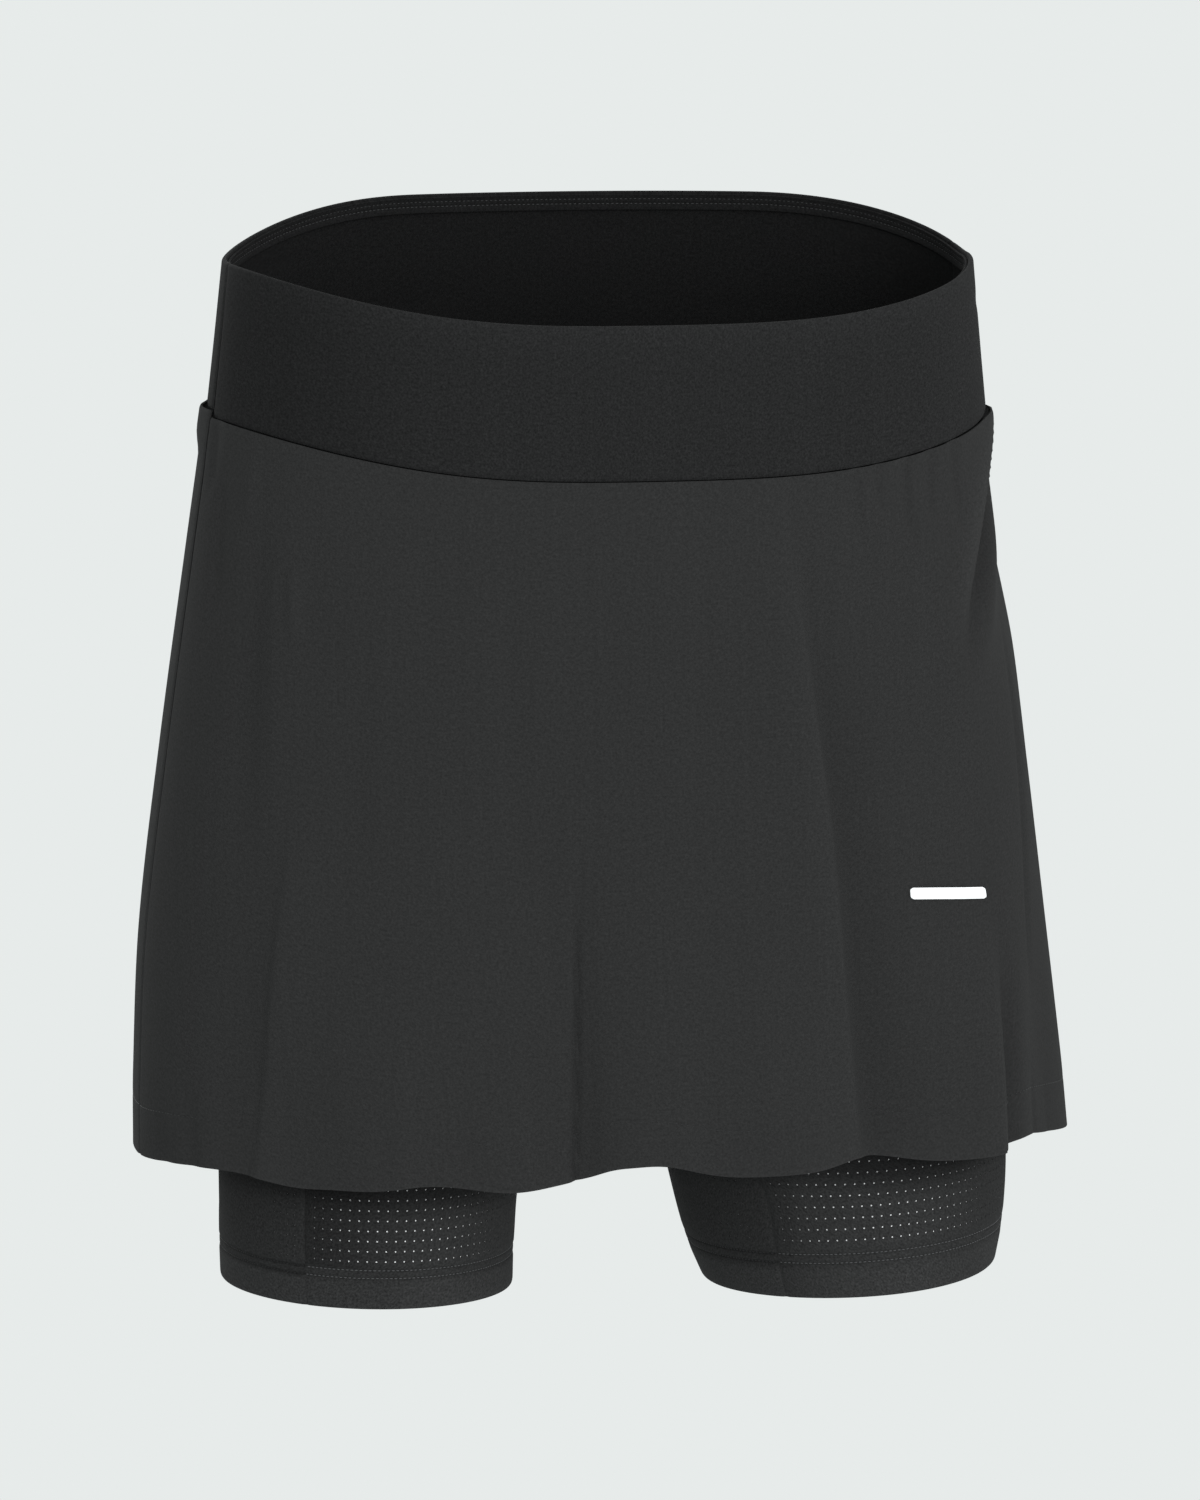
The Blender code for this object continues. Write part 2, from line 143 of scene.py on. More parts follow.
# Rows of points where the shape is finest: mm from the skirt's hem stitches, above a leg's
# hem, from a leg's row of stitches, above the fork, and down the strip inside the waist
SKIRT_HEM_ROWS = (-3.6, -2.2, -1.4, -0.8, -0.4, 0, 0.4, 0.8, 1.4, 2.2)
SKIRT_HEM_ROWS += (4, 6, 8.5, 11, 13.5, 16, 18, 19.2, 19.7, 20)
SKIRT_ROWS_END = 5 * MM  # above the hem's stitches, where those rows take over
LEG_HEM_ROWS = (0, 0.3, 0.7, 1.3, 2.2, 3.4, 4.5, 5.6, 7, 8.2, 9, 9.8, 11)
BESIDE_STITCHES = (-0.8, -0.4, 0, 0.4, 0.8)
FORK_ROWS = np.array([-2.5, -0.2, 1.5, 4.5, 8.0])
STRIP_PROFILE = np.array([0, 0.3, 1.2, 2.3, 2.9, 3.3, 3.7, 4.3, 4.9, 5.3, 5.7, 6.2, 6.6, 7.0])
STRIP_ROUNDING, STRIP_LAP = 0.45 * MM, 0.1 * MM
HEM_ROUNDING, HEM_ROUNDING_REACH = 0.5 * MM, 0.5 * MM

# How light each part is against the rest of its cloth; much of it is painted light and shade
LEG_TONES = {"right": {"front": 1.0, "back": 0.88}, "left": {"front": 1.0, "back": 0.93}}
# Painted shade on the perforated front cloth, from the seam: tone there, how much lighter,
# between which mm, and how much darker again further on
PAINTED_SHADE_FROM_SEAM = {"right": (0.67, 0.51, 6, 60, 0.0), "left": (0.90, 0.24, 0, 20, 0.24)}
DARKER_FROM, DARKER_TO = 58 * MM, 110 * MM
LEG_STITCH_TONES = {"right": {"front": 1.4, "back": 0.16}, "left": {"front": 1.4, "back": 0.3}}
STRIP_STITCH_TONE, SKIRT_STITCH_TONE = 0.75, 0.32
# painted light: how much lighter the hems are, lit more than the shaded cloth above them
HEM_PAINTED_LIGHT = {"front": 1.12, "back": 1.26}
HEM_TONE_LEAST = 0.98  # the painted shade towards the seam stays off a hem
STITCH_GROOVE_SHADE, STITCH_GROOVE_REACH = {"front": 0.30, "back": 0.55}, 0.9 * MM  # painted shade in the grooves along the stitches
SKIRT_SHADOW, SKIRT_SHADOW_FROM, SKIRT_SHADOW_TO = 0.6, 2 * MM, 18 * MM  # painted shadow, darker just under the skirt's hem
CREASE_SHADE = 0.018  # share lighter for each mm that a crease stands up, darker where it sinks
INSIDE_SHADE_TONE, INSIDE_SHADE_FROM, INSIDE_SHADE_TO = 0.52, 0.6, 0.9  # painted shade inside the band, where its front wall would shade it; shares of the band's wall
# painted shade on the strip inside the band
STRIP_INSIDE_SHADE = 0.62
BAND_SIDE_SHADE = ((-72, 0.24, 22), (97, 0.20, 14))  # painted shade towards the band's sides: degrees, how much darker, fading over degrees
EDGE_HIGHLIGHT = 0.08  # painted highlight: share lighter along a folded edge, where it catches the light
BAND_EDGE_HIGHLIGHT_REACH, HEM_EDGE_HIGHLIGHT_REACH = 1.2 * MM, 0.8 * MM
# painted light: the band's upper part lighter, as the light falls more on it
BAND_TOP_PAINTED_LIGHT, BAND_TOP_REACH = 0.12, 9 * MM
PAINTED_HOLE_LIGHT = {"front": 0.30, "back": 0.16}  # painted light in a perforation, least beside seams
PAINTED_HOLE_LIGHT_FROM, PAINTED_HOLE_LIGHT_TO = 3 * MM, 24 * MM

# The plain reflective bar on the left front of the skirt
BAR_LENGTH, BAR_HEIGHT, BAR_LIFT, BAR_CORNER = 36 * MM, 5 * MM, 0.45 * MM, 1.4 * MM
BAR_ANGLE, BAR_DOWN = 56.0, 0.62  # degrees from the front centre, share of the way to the hem
BAR_LEVELLING, BAR_STRAIGHTENING = 0.0105, 0.004  # shares of that way, lower at its left end
BAR_FILM, BAR_ROUNDING = 0.4 * MM, 0.12 * MM
BAR_COLUMNS, BAR_ROWS = 40, 8

SHARP_ANGLE = 42  # degrees

# The waistband, the skirt and the shorts: sections in mm, as in the solids, from top to hem
BAND_SECTIONS = table(
    "down aside width front back square",
    (0.00, 0.8, 156.5, 105.8, 109.0, 2.08),
    (0.50, 0.6, 159.5, 106.4, 110.0, 2.07),
    (1.00, 0.4, 162.7, 107.0, 111.0, 2.05),
)
SKIRT_SECTIONS = table(
    "down aside width front back square",
    (0.00, 0.4, 163.7, 108.0, 112.0, 2.05),
    (0.06, -0.8, 165.0, 109.5, 113.5, 2.06),
    (0.20, -1.5, 170.3, 113.5, 118.0, 2.10),
    (0.45, -1.5, 181.0, 117.0, 123.0, 2.12),
    (0.70, -1.2, 190.5, 121.0, 126.0, 2.15),
    (0.90, 1.0, 195.5, 124.0, 129.0, 2.15),
    (1.00, 2.3, 197.0, 125.0, 130.0, 2.15),
)
SKIRT_FOLDS = table(
    "waist hem spread begins fullest settles left depth drop",
    (-87, -87, 8, 0.80, 1.0, 1.0, 1.0, 0, 2),
    (-66, -62, 8, 0.45, 1.0, 1.0, 1.0, -5, 0),
    (-44, -44, 11, 0.40, 1.0, 1.0, 1.0, 5, 4),
    (-28, -25, 8, 0.50, 1.0, 1.0, 1.0, 2, 3),
    (-14, -15, 7, 0.45, 1.0, 1.0, 1.0, -8, 0),
    (0, 0, 10, 0.45, 1.0, 1.0, 1.0, 1, -6.5),
    (14, 24, 9, 0.40, 1.0, 1.0, 1.0, 4, -1),
    (33, 40, 8, 0.45, 1.0, 1.0, 1.0, -7, -5),
    (84, 28, 6, 0.01, 0.20, 0.42, 0.0, 4, 0),
    (96, 40, 8, 0.02, 0.14, 0.50, 0.0, -4, 0),
    (76, 63, 7, 0.45, 0.95, 1.0, 1.0, 5, 0),
    (84, 70, 8, 0.45, 0.95, 1.0, 1.0, -5, -6.3),
    (125, 122, 10, 0.30, 1.0, 1.0, 1.0, -7, -2),
    (152, 150, 12, 0.35, 1.0, 1.0, 1.0, 7, 2),
    (180, 178, 9, 0.40, 1.0, 1.0, 1.0, -7, -2),
    (208, 211, 12, 0.35, 1.0, 1.0, 1.0, 7, 2),
    (238, 240, 10, 0.40, 1.0, 1.0, 1.0, -6, -2),
)
# Where the hem hangs a little lower or higher still: degrees, how wide, and mm lower
HEM_TRIM = ((-58.5, 6.5, 3.4), (-39, 6.5, -2.8), (-8, 4, -1.4), (72, 5, 2.2))
BODY_SECTIONS = table(
    "z width front back square",
    (-66, 160.5, 104.5, 108.5, 2.04),
    (-120, 158.5, 106.0, 109.5, 2.10),
    (-200, 162.5, 106.0, 113.5, 2.15),
    (-290, 162.5, 100.0, 110.0, 2.15),
)
LEG_SECTION = "z out ahead width depth"
TOP_OF_LEG = ((-200, 66.0, 0.0, 98.0, 104.0), (-260, 78.0, -2.0, 87.0, 102.0), (-290, 82.5, -1.0, 82.0, 98.0))
LEG_SECTIONS = {
    "right": table(
        LEG_SECTION,
        *TOP_OF_LEG,
        (-330, 90.5, 3.0, 71.0, 90.0),
        (-377, 97.5, 7.0, 62.5, 82.0),
        (-406, 99.2, 9.0, 61.0, 78.5),
        (-423.5, 99.4, 10.0, 60.5, 76.0),
    ),
    "left": table(
        LEG_SECTION,
        *TOP_OF_LEG,
        (-330, 93.5, 3.0, 76.0, 90.0),
        (-377, 100.4, 7.0, 71.0, 83.0),
        (-406, 103.4, 9.0, 66.3, 79.0),
        (-423.5, 105.4, 10.0, 61.0, 76.0),
    ),
}
LEGS = {
    "right": dict(side=-1, outer_seam=29, inner_seam=-151, lift=0.0, tilt=1.0),
    "left": dict(side=1, outer_seam=147, inner_seam=-33, lift=-1.0, tilt=4.7),
}
SEAM_TURN_STARTS, SEAM_TURN_ENDS = -150 * MM, -385 * MM

# Creases too fine for the solids. Each runs from one place to another: degrees from
# the front centre, and mm below the top of its panel. It is bowed aside by up to bow
# mm, and falls away over its own width to either side. Troughs have negative depths.
# The last column, where there is one, is how much lighter each mm of height makes it.
CREASE = "start end bow before after depth shade"
SKIRT_CREASES = table(
    CREASE,
    # the right front
    ((-84, -6), (-82.5, 32), 0, 4, 5, -1.1),
    ((-80, 8), (-77, 88), 1, 5, 6, -1.6),
    ((-73, 6), (-72, 40), 0, 3, 4, 1.1),
    ((-69.5, 15), (-65.5, 190), -2, 9, 6, -1.7),
    ((-66, 20), (-62.5, 150), -1, 4, 9, 0.8),
    ((-63, 44), (-61.6, 82), 0, 2.5, 3, 1.3),
    ((-63.5, 140), (-73.5, 400), 5, 8, 4, -0.7),
    ((-59, 125), (-69.5, 405), 5, 3, 17, 2.6),
    ((-50, 60), (-53, 210), 2, 8, 10, -0.6),
    ((-46, 20), (-47.5, 120), 0, 6, 8, 0.5),
    ((-74, 255), (-73, 360), 0, 4, 3, -1.3),
    ((-79, 262), (-78, 360), 0, 4, 3, -0.9),
    ((-42, 225), (-42, 345), 0, 4, 4, 0.8),
    ((-31, 110), (-34, 300), 3, 10, 13, 0.7),
    ((-23, 40), (-24, 190), -2, 8, 6, -0.5),
    # the middle of the front
    ((-12.3, 128), (-18.3, 400), 3, 1.6, 34, -1.0),
    ((-12.3, 135), (-18.3, 400), 3, 1.3, 1.7, -0.9),
    ((-13.8, 128), (-19.8, 400), 3, 9, 2.2, 0.9),
    ((-8.5, 150), (-13, 400), 3, 7.5, 12, 0.7),
    ((6, 120), (3, 300), -3, 12, 16, 0.6),
    ((14, 30), (13, 170), 2, 9, 12, -0.5),
    # the left front
    ((27, -30), (39, 400), 8, 18, 4.5, 4.6),
    ((31, 10), (43, 400), 8, 4.5, 20, -3.1),
    ((45, -14), (45.5, 36), 0, 3, 3, -1.1),
    ((49.5, -14), (50, 24), 0, 3, 3, -1.1),
    ((55, -14), (56.5, 48), 0, 3.4, 2.6, -1.2),
    ((61, -14), (60, 34), 1, 3, 3, -1.0),
    ((66, -14), (67, 44), 1, 3, 3.6, -1.2),
    ((96, -16), (60.5, 98), -17.5, 7, 3.0, 3.0, 0.08),
    ((98.2, -14), (62.7, 102), -17.5, 3.0, 8, -4.2, 0.05),
    ((82, 70), (72, 260), -4, 2.5, 3.5, -1.3, 0.05),
    ((101, -20), (88, 150), 0, 13, 22, 3.2, 0.0),
    ((79, 170), (75, 420), 0, 13, 15, -0.8, 0.07),
    ((62.5, 180), (57, 420), 0, 13, 2.2, 3.6),
    ((64.8, 190), (60.2, 420), 0, 2.2, 8, -5.5),
    ((70.5, 262), (70.5, 350), 0, 2.2, 2.2, -0.9),
    ((75, 268), (75.5, 350), 0, 2.5, 2.5, -0.7),
    # the back, from the left seam to the right one
    ((104, 170), (100, 400), 3, 5, 14, -3.2),
    ((112, -8), (111, 40), 0, 4, 4, -1.0),
    ((118, 40), (124, 210), 4, 12, 7, 1.8),
    ((133, 130), (131, 400), -3, 4, 15, -3.4),
    ((141, -8), (142, 52), 0, 4, 5, -1.0),
    ((150, 230), (151, 360), 0, 4, 4, 1.4),
    ((161, 60), (166, 330), 6, 14, 6, 2.2),
    ((176, -8), (177, 30), 0, 4, 3, -0.8),
    ((186, 150), (182, 400), -3, 15, 3.5, -3.7),
    ((197, 30), (201, 150), 2, 9, 12, 1.3),
    ((204, 240), (204, 350), 0, 3, 4, -1.4),
    ((219, 100), (223, 380), 5, 6, 14, 2.6),
    ((229, -8), (231, 60), 0, 4, 4, -1.1),
    ((237, 170), (246, 400), -4, 5, 13, -3.2),
    ((252, 40), (250, 150), 2, 9, 8, 1.1),
    ((262, 250), (262, 350), 0, 3, 3, -1.4),
    ((267, -12), (265, 20), 0, 10, 14, 2.0),
)
BAND_CREASES = table(
    CREASE,
    ((-40, 9), (-20, 9.5), 0.8, 1.4, 1.6, -0.6),
    ((-44, 13), (-29, 13.5), 0, 1.4, 1.8, 0.6),
    ((-76, 20), (-60, 34), 2, 3, 4, -0.35),
    ((-82, 48), (-66, 57), 1, 3, 3, -0.4),
    ((12, 36), (34, 31), -1.5, 3, 4, -0.25),
    ((58, 52), (86, 40), 2, 4, 4, -0.4),
    ((74, 14), (93, 20), -1, 3, 4, -0.35),
    ((108, 18), (124, 27), 1, 3, 4, -0.4),
    ((129, 45), (152, 50), -2, 3, 4, -0.4),
    ((158, 20), (181, 17), 2, 4, 4, -0.35),
    ((196, 42), (221, 46), -2, 3, 5, -0.4),
    ((230, 22), (254, 15), 1, 3, 3, -0.4),
)
# On a leg the degrees are from its own front towards its outer side, and mm above the hem
LEG_CREASES = {
    "right": table(
        CREASE,
        ((36, 9), (74, 8), 0.6, 0.8, 1.0, -0.3),
        ((40, 4.5), (80, 4), -0.5, 0.7, 0.8, -0.25),
        ((-10, 9), (8, 8.5), 0.4, 0.8, 0.8, -0.15),
        ((98, 30), (138, 46), 4, 4, 5, -0.8),
        ((-98, 70), (-132, 104), 5, 5, 7, -1.2),
        ((150, 66), (196, 92), -5, 5, 7, -1.2),
    ),
    "left": table(
        CREASE,
        ((-28, 9.5), (-4, 9), 0.5, 0.8, 0.9, -0.3),
        ((-31, 5), (-8, 4.5), -0.4, 0.7, 0.8, -0.25),
        ((70, 8), (98, 9), 0.5, 0.8, 0.8, -0.2),
        ((-92, 66), (-128, 98), 5, 5, 7, -1.2),
        ((156, 34), (196, 50), -4, 4, 5, -0.8),
        ((168, 76), (214, 100), 5, 5, 7, -1.2),
    ),
}

# The camera, the light, and the colour behind the garment
CAMERA_AZIMUTH = -10.0
CAMERA_ELEVATION = 7.5
CAMERA_DISTANCE = 4.0
CAMERA_LENS = 230.4
LOOKS_AT = (0.00125, -0.0002, -0.206)
BACKDROP = (0.799, 0.831, 0.823)
FLOOR_Z = -1.0
FLOOR_RADIUS = 1.6
FLOOR_COLOUR = (0.655, 0.682, 0.676)
SUNS = table(
    "name azimuth elevation energy spread",
    ("key", 10, 8, 1.65, 28),
    ("side", 98, 12, 0.7, 50),
    ("overhead", -10, 60, 0.3, 60),
    ("behind", 195, 22, 1.1, 30),
)


# Shapes


def smooth_step(value, start, end):
    """0 before start, 1 after end, with a soft change between them."""
    t = np.clip((value - start) / (end - start), 0, 1)
    return t * t * (3 - 2 * t)


def fade(distance, reach):
    """1 where the distance is 0, falling softly to nearly 0 at twice the reach."""
    return np.exp(-((distance / reach) ** 2))


def degrees_past(angle, degrees):
    """How far an angle lies past a direction given in degrees, the short way round."""
    return (np.degrees(angle) - degrees + 180) % 360 - 180


def look_up(rows, key, at, name):
    """A named column of a table at any places along its key, on a smooth curve."""
    rows = sorted(rows, key=lambda row: row[key])
    keys = np.array([row[key] for row in rows])
    values = np.array([row[name] for row in rows])
    order, last = np.arange(len(rows)), len(rows) - 1
    before, after = np.maximum(order - 1, 0), np.minimum(order + 1, last)
    slopes = (values[after] - values[before]) / (keys[after] - keys[before])
    at = np.clip(at, keys[0], keys[-1])
    i = np.clip(np.searchsorted(keys, at, side="right") - 1, 0, len(rows) - 2)
    span = keys[i + 1] - keys[i]
    t = (at - keys[i]) / span
    return (
        (2 * t**3 - 3 * t**2 + 1) * values[i]
        + (t**3 - 2 * t**2 + t) * span * slopes[i]
        + (3 * t**2 - 2 * t**3) * values[i + 1]
        + (t**3 - t**2) * span * slopes[i + 1]
    )


def section_at(rows, key, at):
    """All columns of a table at these places, lengths turned into metres."""
    names = [name for name in rows[0] if name != key]
    found = {name: look_up(rows, key, at, name) for name in names}
    return {n: v if n == "square" else v * MM for n, v in found.items()}


def ring_radius(section, angle):
    """Distance from the middle to a rounded oval, at an angle from the front."""
    across, along = np.abs(np.sin(angle)), np.abs(np.cos(angle))
    reach = np.where(np.cos(angle) > 0, section["front"], section["back"])
    power = section["square"]
    return ((across / section["width"]) ** power + (along / reach) ** power) ** (-1 / power)


def waist_rise(angle):
    """Height of the waist's lines round the body: down in front, up behind."""
    turned = angle - math.radians(WAIST_TURN) * np.tanh(WAIST_TURN_SPEED * np.cos(angle))
    ahead = np.cos(turned)
    dip = -FRONT_DIP * np.sin(math.pi / 2 * np.maximum(ahead, 0)) ** FRONT_DIP_POWER
    towards_level = np.clip(-ahead / BACK_LEVEL_FROM, 0, 1)
    return dip + BACK_RISE * np.sin(math.pi / 2 * towards_level) ** BACK_RISE_POWER


def fold_sum(angle, down, column):
    """Everything that the folds add to one of their columns at these places."""
    total = 0.0
    for fold in SKIRT_FOLDS:
        middle = fold["waist"] + (fold["hem"] - fold["waist"]) * down
        rising = smooth_step(down, fold["begins"], fold["fullest"])
        settles = max(fold["settles"], fold["fullest"] + 1e-6)
        settling = 1 - (1 - fold["left"]) * smooth_step(down, fold["fullest"], settles)
        share = np.where(down <= fold["fullest"], rising, settling)
        total = total + fold[column] * MM * share * fade(degrees_past(angle, middle), fold["spread"])
    return total


def crease_sum(creases, angle, below, radius, shading=False):
    """How far the creases move the cloth outwards, at these places on a panel.

    With shading, how much lighter or darker they leave it there.
    """
    mm_a_degree = math.radians(1) * radius / MM
    total = np.zeros(np.broadcast(angle, below).shape)
    for crease in creases:
        (start, start_mm), (end, end_mm) = crease["start"], crease["end"]
        across = degrees_past(angle, start) * mm_a_degree
        down = below / MM - start_mm
        run = (end - start) * mm_a_degree, end_mm - start_mm
        length = np.hypot(*run)
        along = (across * run[0] + down * run[1]) / length**2
        aside = (across * run[1] - down * run[0]) / length - crease["bow"] * 4 * along * (1 - along)
        width = np.where(aside < 0, crease["before"], crease["after"])
        fullness = smooth_step(along, 0, 0.35) * (1 - smooth_step(along, 0.65, 1))
        amount = crease["depth"] * (crease.get("shade", CREASE_SHADE) if shading else MM)
        total += amount * fullness * fade(aside, width)
    return total


def oval_point(section, angle, z, out=0.0):
    """The point of a rounded oval at an angle and a height, moved out by so much."""
    radius = ring_radius(section, angle) + out
    return np.stack([section["aside"] + radius * np.sin(angle), -radius * np.cos(angle), z], axis=-1)


def band_point(angle, down, panel):
    """The waistband's outer face; down is a share of its height."""
    z = waist_rise(angle) - (BAND_HEIGHTS[panel] - SEAM_GAP / 2) * down
    return oval_point(section_at(BAND_SECTIONS, "down", down), angle, z)


def skirt_point(angle, down, panel):
    """The skirt's outer face; down is a share of the way to the hem."""
    top = waist_rise(angle) - BAND_HEIGHTS[panel] - SEAM_GAP / 2
    hem = SKIRT_HEM_Z - fold_sum(angle, np.ones_like(down), "drop")
    for middle, spread, lower in HEM_TRIM:
        hem = hem - lower * MM * fade(degrees_past(angle, middle), spread)
    z = top + (hem - top) * down
    return oval_point(section_at(SKIRT_SECTIONS, "down", down), angle, z, fold_sum(angle, down, "depth"))


def shorts_depth(side, out, ahead, z):
    """Under 1 inside the shorts at these places, over 1 outside them."""
    legness = smooth_step(z, LEG_BLEND_Z, CROTCH_Z)
    leg = section_at(LEG_SECTIONS[side], "z", z / MM)
    in_leg = np.hypot((out - leg["out"]) / leg["width"], (ahead - leg["ahead"]) / leg["depth"])
    body = section_at(BODY_SECTIONS, "z", z / MM)
    in_body = np.hypot(out, ahead) / ring_radius(body, np.arctan2(out, ahead))
    return (1 - legness) * in_body + legness * in_leg


def halve(inside, outside, test, steps=24):
    """The values between two where a test stops being true."""
    inside, outside = np.array(inside, float), np.array(outside, float)
    for _ in range(steps):
        middle = (inside + outside) / 2
        kept = test(middle)
        inside, outside = np.where(kept, middle, inside), np.where(kept, outside, middle)
    return (inside + outside) / 2


def shorts_reach(side, angle, z):
    """Points of the shorts' outline, seen from a leg's middle: (out, ahead)."""
    leg = section_at(LEG_SECTIONS[side], "z", z / MM)
    across, along = np.sin(angle), np.cos(angle)

    def inside(distance):
        return shorts_depth(side, leg["out"] + distance * across, leg["ahead"] + distance * along, z) < 1

    distance = halve(np.zeros_like(angle), np.full_like(angle, 0.3), inside)
    return leg["out"] + distance * across, leg["ahead"] + distance * along


def centre_angle(side, z, behind):
    """The angle, from a leg's middle, at which the outline meets the centre seam."""
    front_or_back, inner = (math.pi, 1.5 * math.pi) if behind else (0.0, -0.5 * math.pi)
    ends = np.full_like(z, front_or_back), np.full_like(z, inner)
    return halve(*ends, lambda angle: shorts_reach(side, angle, z)[0] > 0, steps=16)


def leg_seam_angle(leg, which, z):
    """Angle of a leg's outer or inner seam: square to the body high up, turned at the hem."""
    square_on = math.radians(90 if which == "outer_seam" else -90)
    starts = SEAM_TURN_STARTS if which == "outer_seam" else CROTCH_Z
    return square_on + (math.radians(leg[which]) - square_on) * smooth_step(-z, -starts, -SEAM_TURN_ENDS)


def panel_edges(side, panel, heights):
    """The angles of both seams of a shorts panel at each of these heights."""
    leg = LEGS[side]
    outer = leg_seam_angle(leg, "outer_seam", heights)
    inner = leg_seam_angle(leg, "inner_seam", heights)
    above = heights > CROTCH_Z
    start = np.where(above, centre_angle(side, heights, False), inner)
    end = np.where(above, centre_angle(side, heights, True), inner + 2 * math.pi)
    return (start, outer) if panel == "front" else (outer, end)


def shorts_point(side, angle, z):
    """The shorts' outer face; the angle is seen from a leg's middle."""
    leg = LEGS[side]
    out, ahead = shorts_reach(side, angle, z)
    rise = waist_rise(leg["side"] * np.arctan2(out, ahead)) * smooth_step(z, SHORTS_LEVEL_Z, SHORTS_TOP_Z)
    hem_share = smooth_step(-z, -CROTCH_Z, -LEG_HEM_Z)
    rise = rise + (leg["lift"] + leg["tilt"] * np.sin(angle)) * MM * hem_share
    return np.stack([leg["side"] * out, -ahead, z + rise], axis=-1)


# Meshes


def unit(vectors):
    """The same directions, each 1 long."""
    return vectors / np.maximum(np.linalg.norm(vectors, axis=-1, keepdims=True), 1e-12)


def outward(points):
    """Which way each point of a grid of cloth faces, rows running down it."""
    along = np.gradient(points, axis=1)
    down = np.gradient(points, axis=0)
    return unit(np.cross(down, along))


def cloth_uv(points):
    """Distances along and down the cloth in metres, from the middle of its top edge."""
    along = np.zeros(points.shape[:2])
    along[:, 1:] = np.cumsum(np.linalg.norm(np.diff(points, axis=1), axis=-1), axis=1)
    middle = points.shape[1] // 2
    along -= along[:, middle : middle + 1]
    down = np.zeros(points.shape[:2])
    down[1:] = np.cumsum(np.linalg.norm(np.diff(points, axis=0), axis=-1), axis=0)
    return np.stack([along, -down], axis=-1)


def grid_faces(rows, columns, closed_down=False, closed_round=False):
    """Quads between the points of a grid, row after row, facing outwards."""
    last_row, last_column = rows - (not closed_down), columns - (not closed_round)
    r, c = np.meshgrid(np.arange(last_row), np.arange(last_column), indexing="ij")
    below, beside = (r + 1) % rows, (c + 1) % columns
    quads = [r * columns + c, below * columns + c, below * columns + beside, r * columns + beside]
    return np.stack(quads, axis=-1).reshape(-1, 4).tolist()


def make_piece(name, points, faces, uv, material, slot, replaces=(), tone=None):
    """A new piece at the origin, riding on the garment. Its tone, painted light and shade included, lightens
    or darkens it.
    """
    mesh = bpy.data.meshes.new(name)
    mesh.from_pydata(points.reshape(-1, 3).tolist(), [], faces)
    layer = mesh.uv_layers.new(name="cloth")
    corner = np.zeros(len(mesh.loops), int)
    mesh.loops.foreach_get("vertex_index", corner)
    layer.data.foreach_set("uv", uv.reshape(-1, 2)[corner].ravel())
    tones = mesh.attributes.new("tone", "FLOAT", "POINT")
    values = np.ones(len(mesh.vertices)) if tone is None else np.asarray(tone, float).ravel()
    tones.data.foreach_set("value", values)
    mesh.materials.append(material)
    piece = bpy.data.objects.new(name, mesh)
    bpy.context.scene.collection.objects.link(piece)
    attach(piece, "root")
    if replaces:
        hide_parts(*replaces)
    return piece


def select_only(piece):
    """Leaves one piece selected, for the tools that work on what is selected."""
    bpy.ops.object.select_all(action="DESELECT")
    piece.select_set(True)
    bpy.context.view_layer.objects.active = piece


def finish_shell(piece, wall=None, hem_wall=None, hem_points=()):
    """Gives cloth its thickness, inwards, and rounds its shading except over sharp edges."""
    select_only(piece)
    if wall:
        shell = piece.modifiers.new("wall", "SOLIDIFY")
        shell.thickness = hem_wall or wall
        shell.offset = -1
        shell.use_even_offset = True
        if hem_wall:
            turned_up = piece.vertex_groups.new(name="turned_up_hem")
            turned_up.add([int(i) for i in hem_points], 1.0, "REPLACE")
            shell.vertex_group = turned_up.name
            shell.thickness_vertex_group = wall / hem_wall
        bpy.ops.object.modifier_apply(modifier=shell.name)
    bpy.ops.object.shade_smooth_by_angle(angle=math.radians(SHARP_ANGLE))


def dip(distance, depth_and_reach):
    """How far cloth dips at this distance from where it is sewn."""
    depth, reach = depth_and_reach
    return -depth * fade(distance, reach)


def spaced(length, step, near_first=True, near_last=True):
    """Places from 0 to a length, about a step apart, and closer beside each seam."""
    close = np.array(BESIDE_SEAM) * MM
    first = close[-1] if near_first else 0.0
    last = length - (close[-1] if near_last else 0.0)
    even = np.linspace(first, last, max(2, int(round((last - first) / step)) + 1))
    parts = [close[:-1]] if near_first else []
    parts.append(even)
    if near_last:
        parts.append(length - close[:-1][::-1])
    return np.concatenate(parts)


# Materials


def new_material(name):
    """A material, its nodes and its main shader."""
    material = bpy.data.materials.new(name)
    material.use_nodes = True
    return material, material.node_tree, material.node_tree.nodes["Principled BSDF"]


def add_node(tree, kind, inputs=None, **settings):
    """A node with its settings. An input takes a plain value, or another node's output."""
    node = tree.nodes.new(kind)
    for key, value in settings.items():
        setattr(node, key, value)
    for key, value in (inputs or {}).items():
        if isinstance(value, bpy.types.NodeSocket):
            tree.links.new(value, node.inputs[key])
        else:
            node.inputs[key].default_value = value
    return node


def cloth_place(tree):
    """Where each point lies on its flat piece of cloth, in metres."""
    return add_node(tree, "ShaderNodeUVMap", uv_map="cloth").outputs["UV"]


def combine(tree, first, second, operation="MULTIPLY"):
    """Two values multiplied, or put together by another operation."""
    return add_node(tree, "ShaderNodeMath", {0: first, 1: second}, operation=operation).outputs["Value"]


def stretch(tree, value, low, high, lowest=0.0, highest=1.0):
    """A value between lowest and highest, stretched to lie between low and high."""
    span = {"Value": value, "From Min": lowest, "From Max": highest, "To Min": low, "To Max": high}
    return add_node(tree, "ShaderNodeMapRange", span).outputs["Result"]


def piece_tone(tree):
    """How light or dark the piece's tone makes it, painted light and shade included."""
    return add_node(tree, "ShaderNodeAttribute", attribute_name="tone").outputs["Fac"]


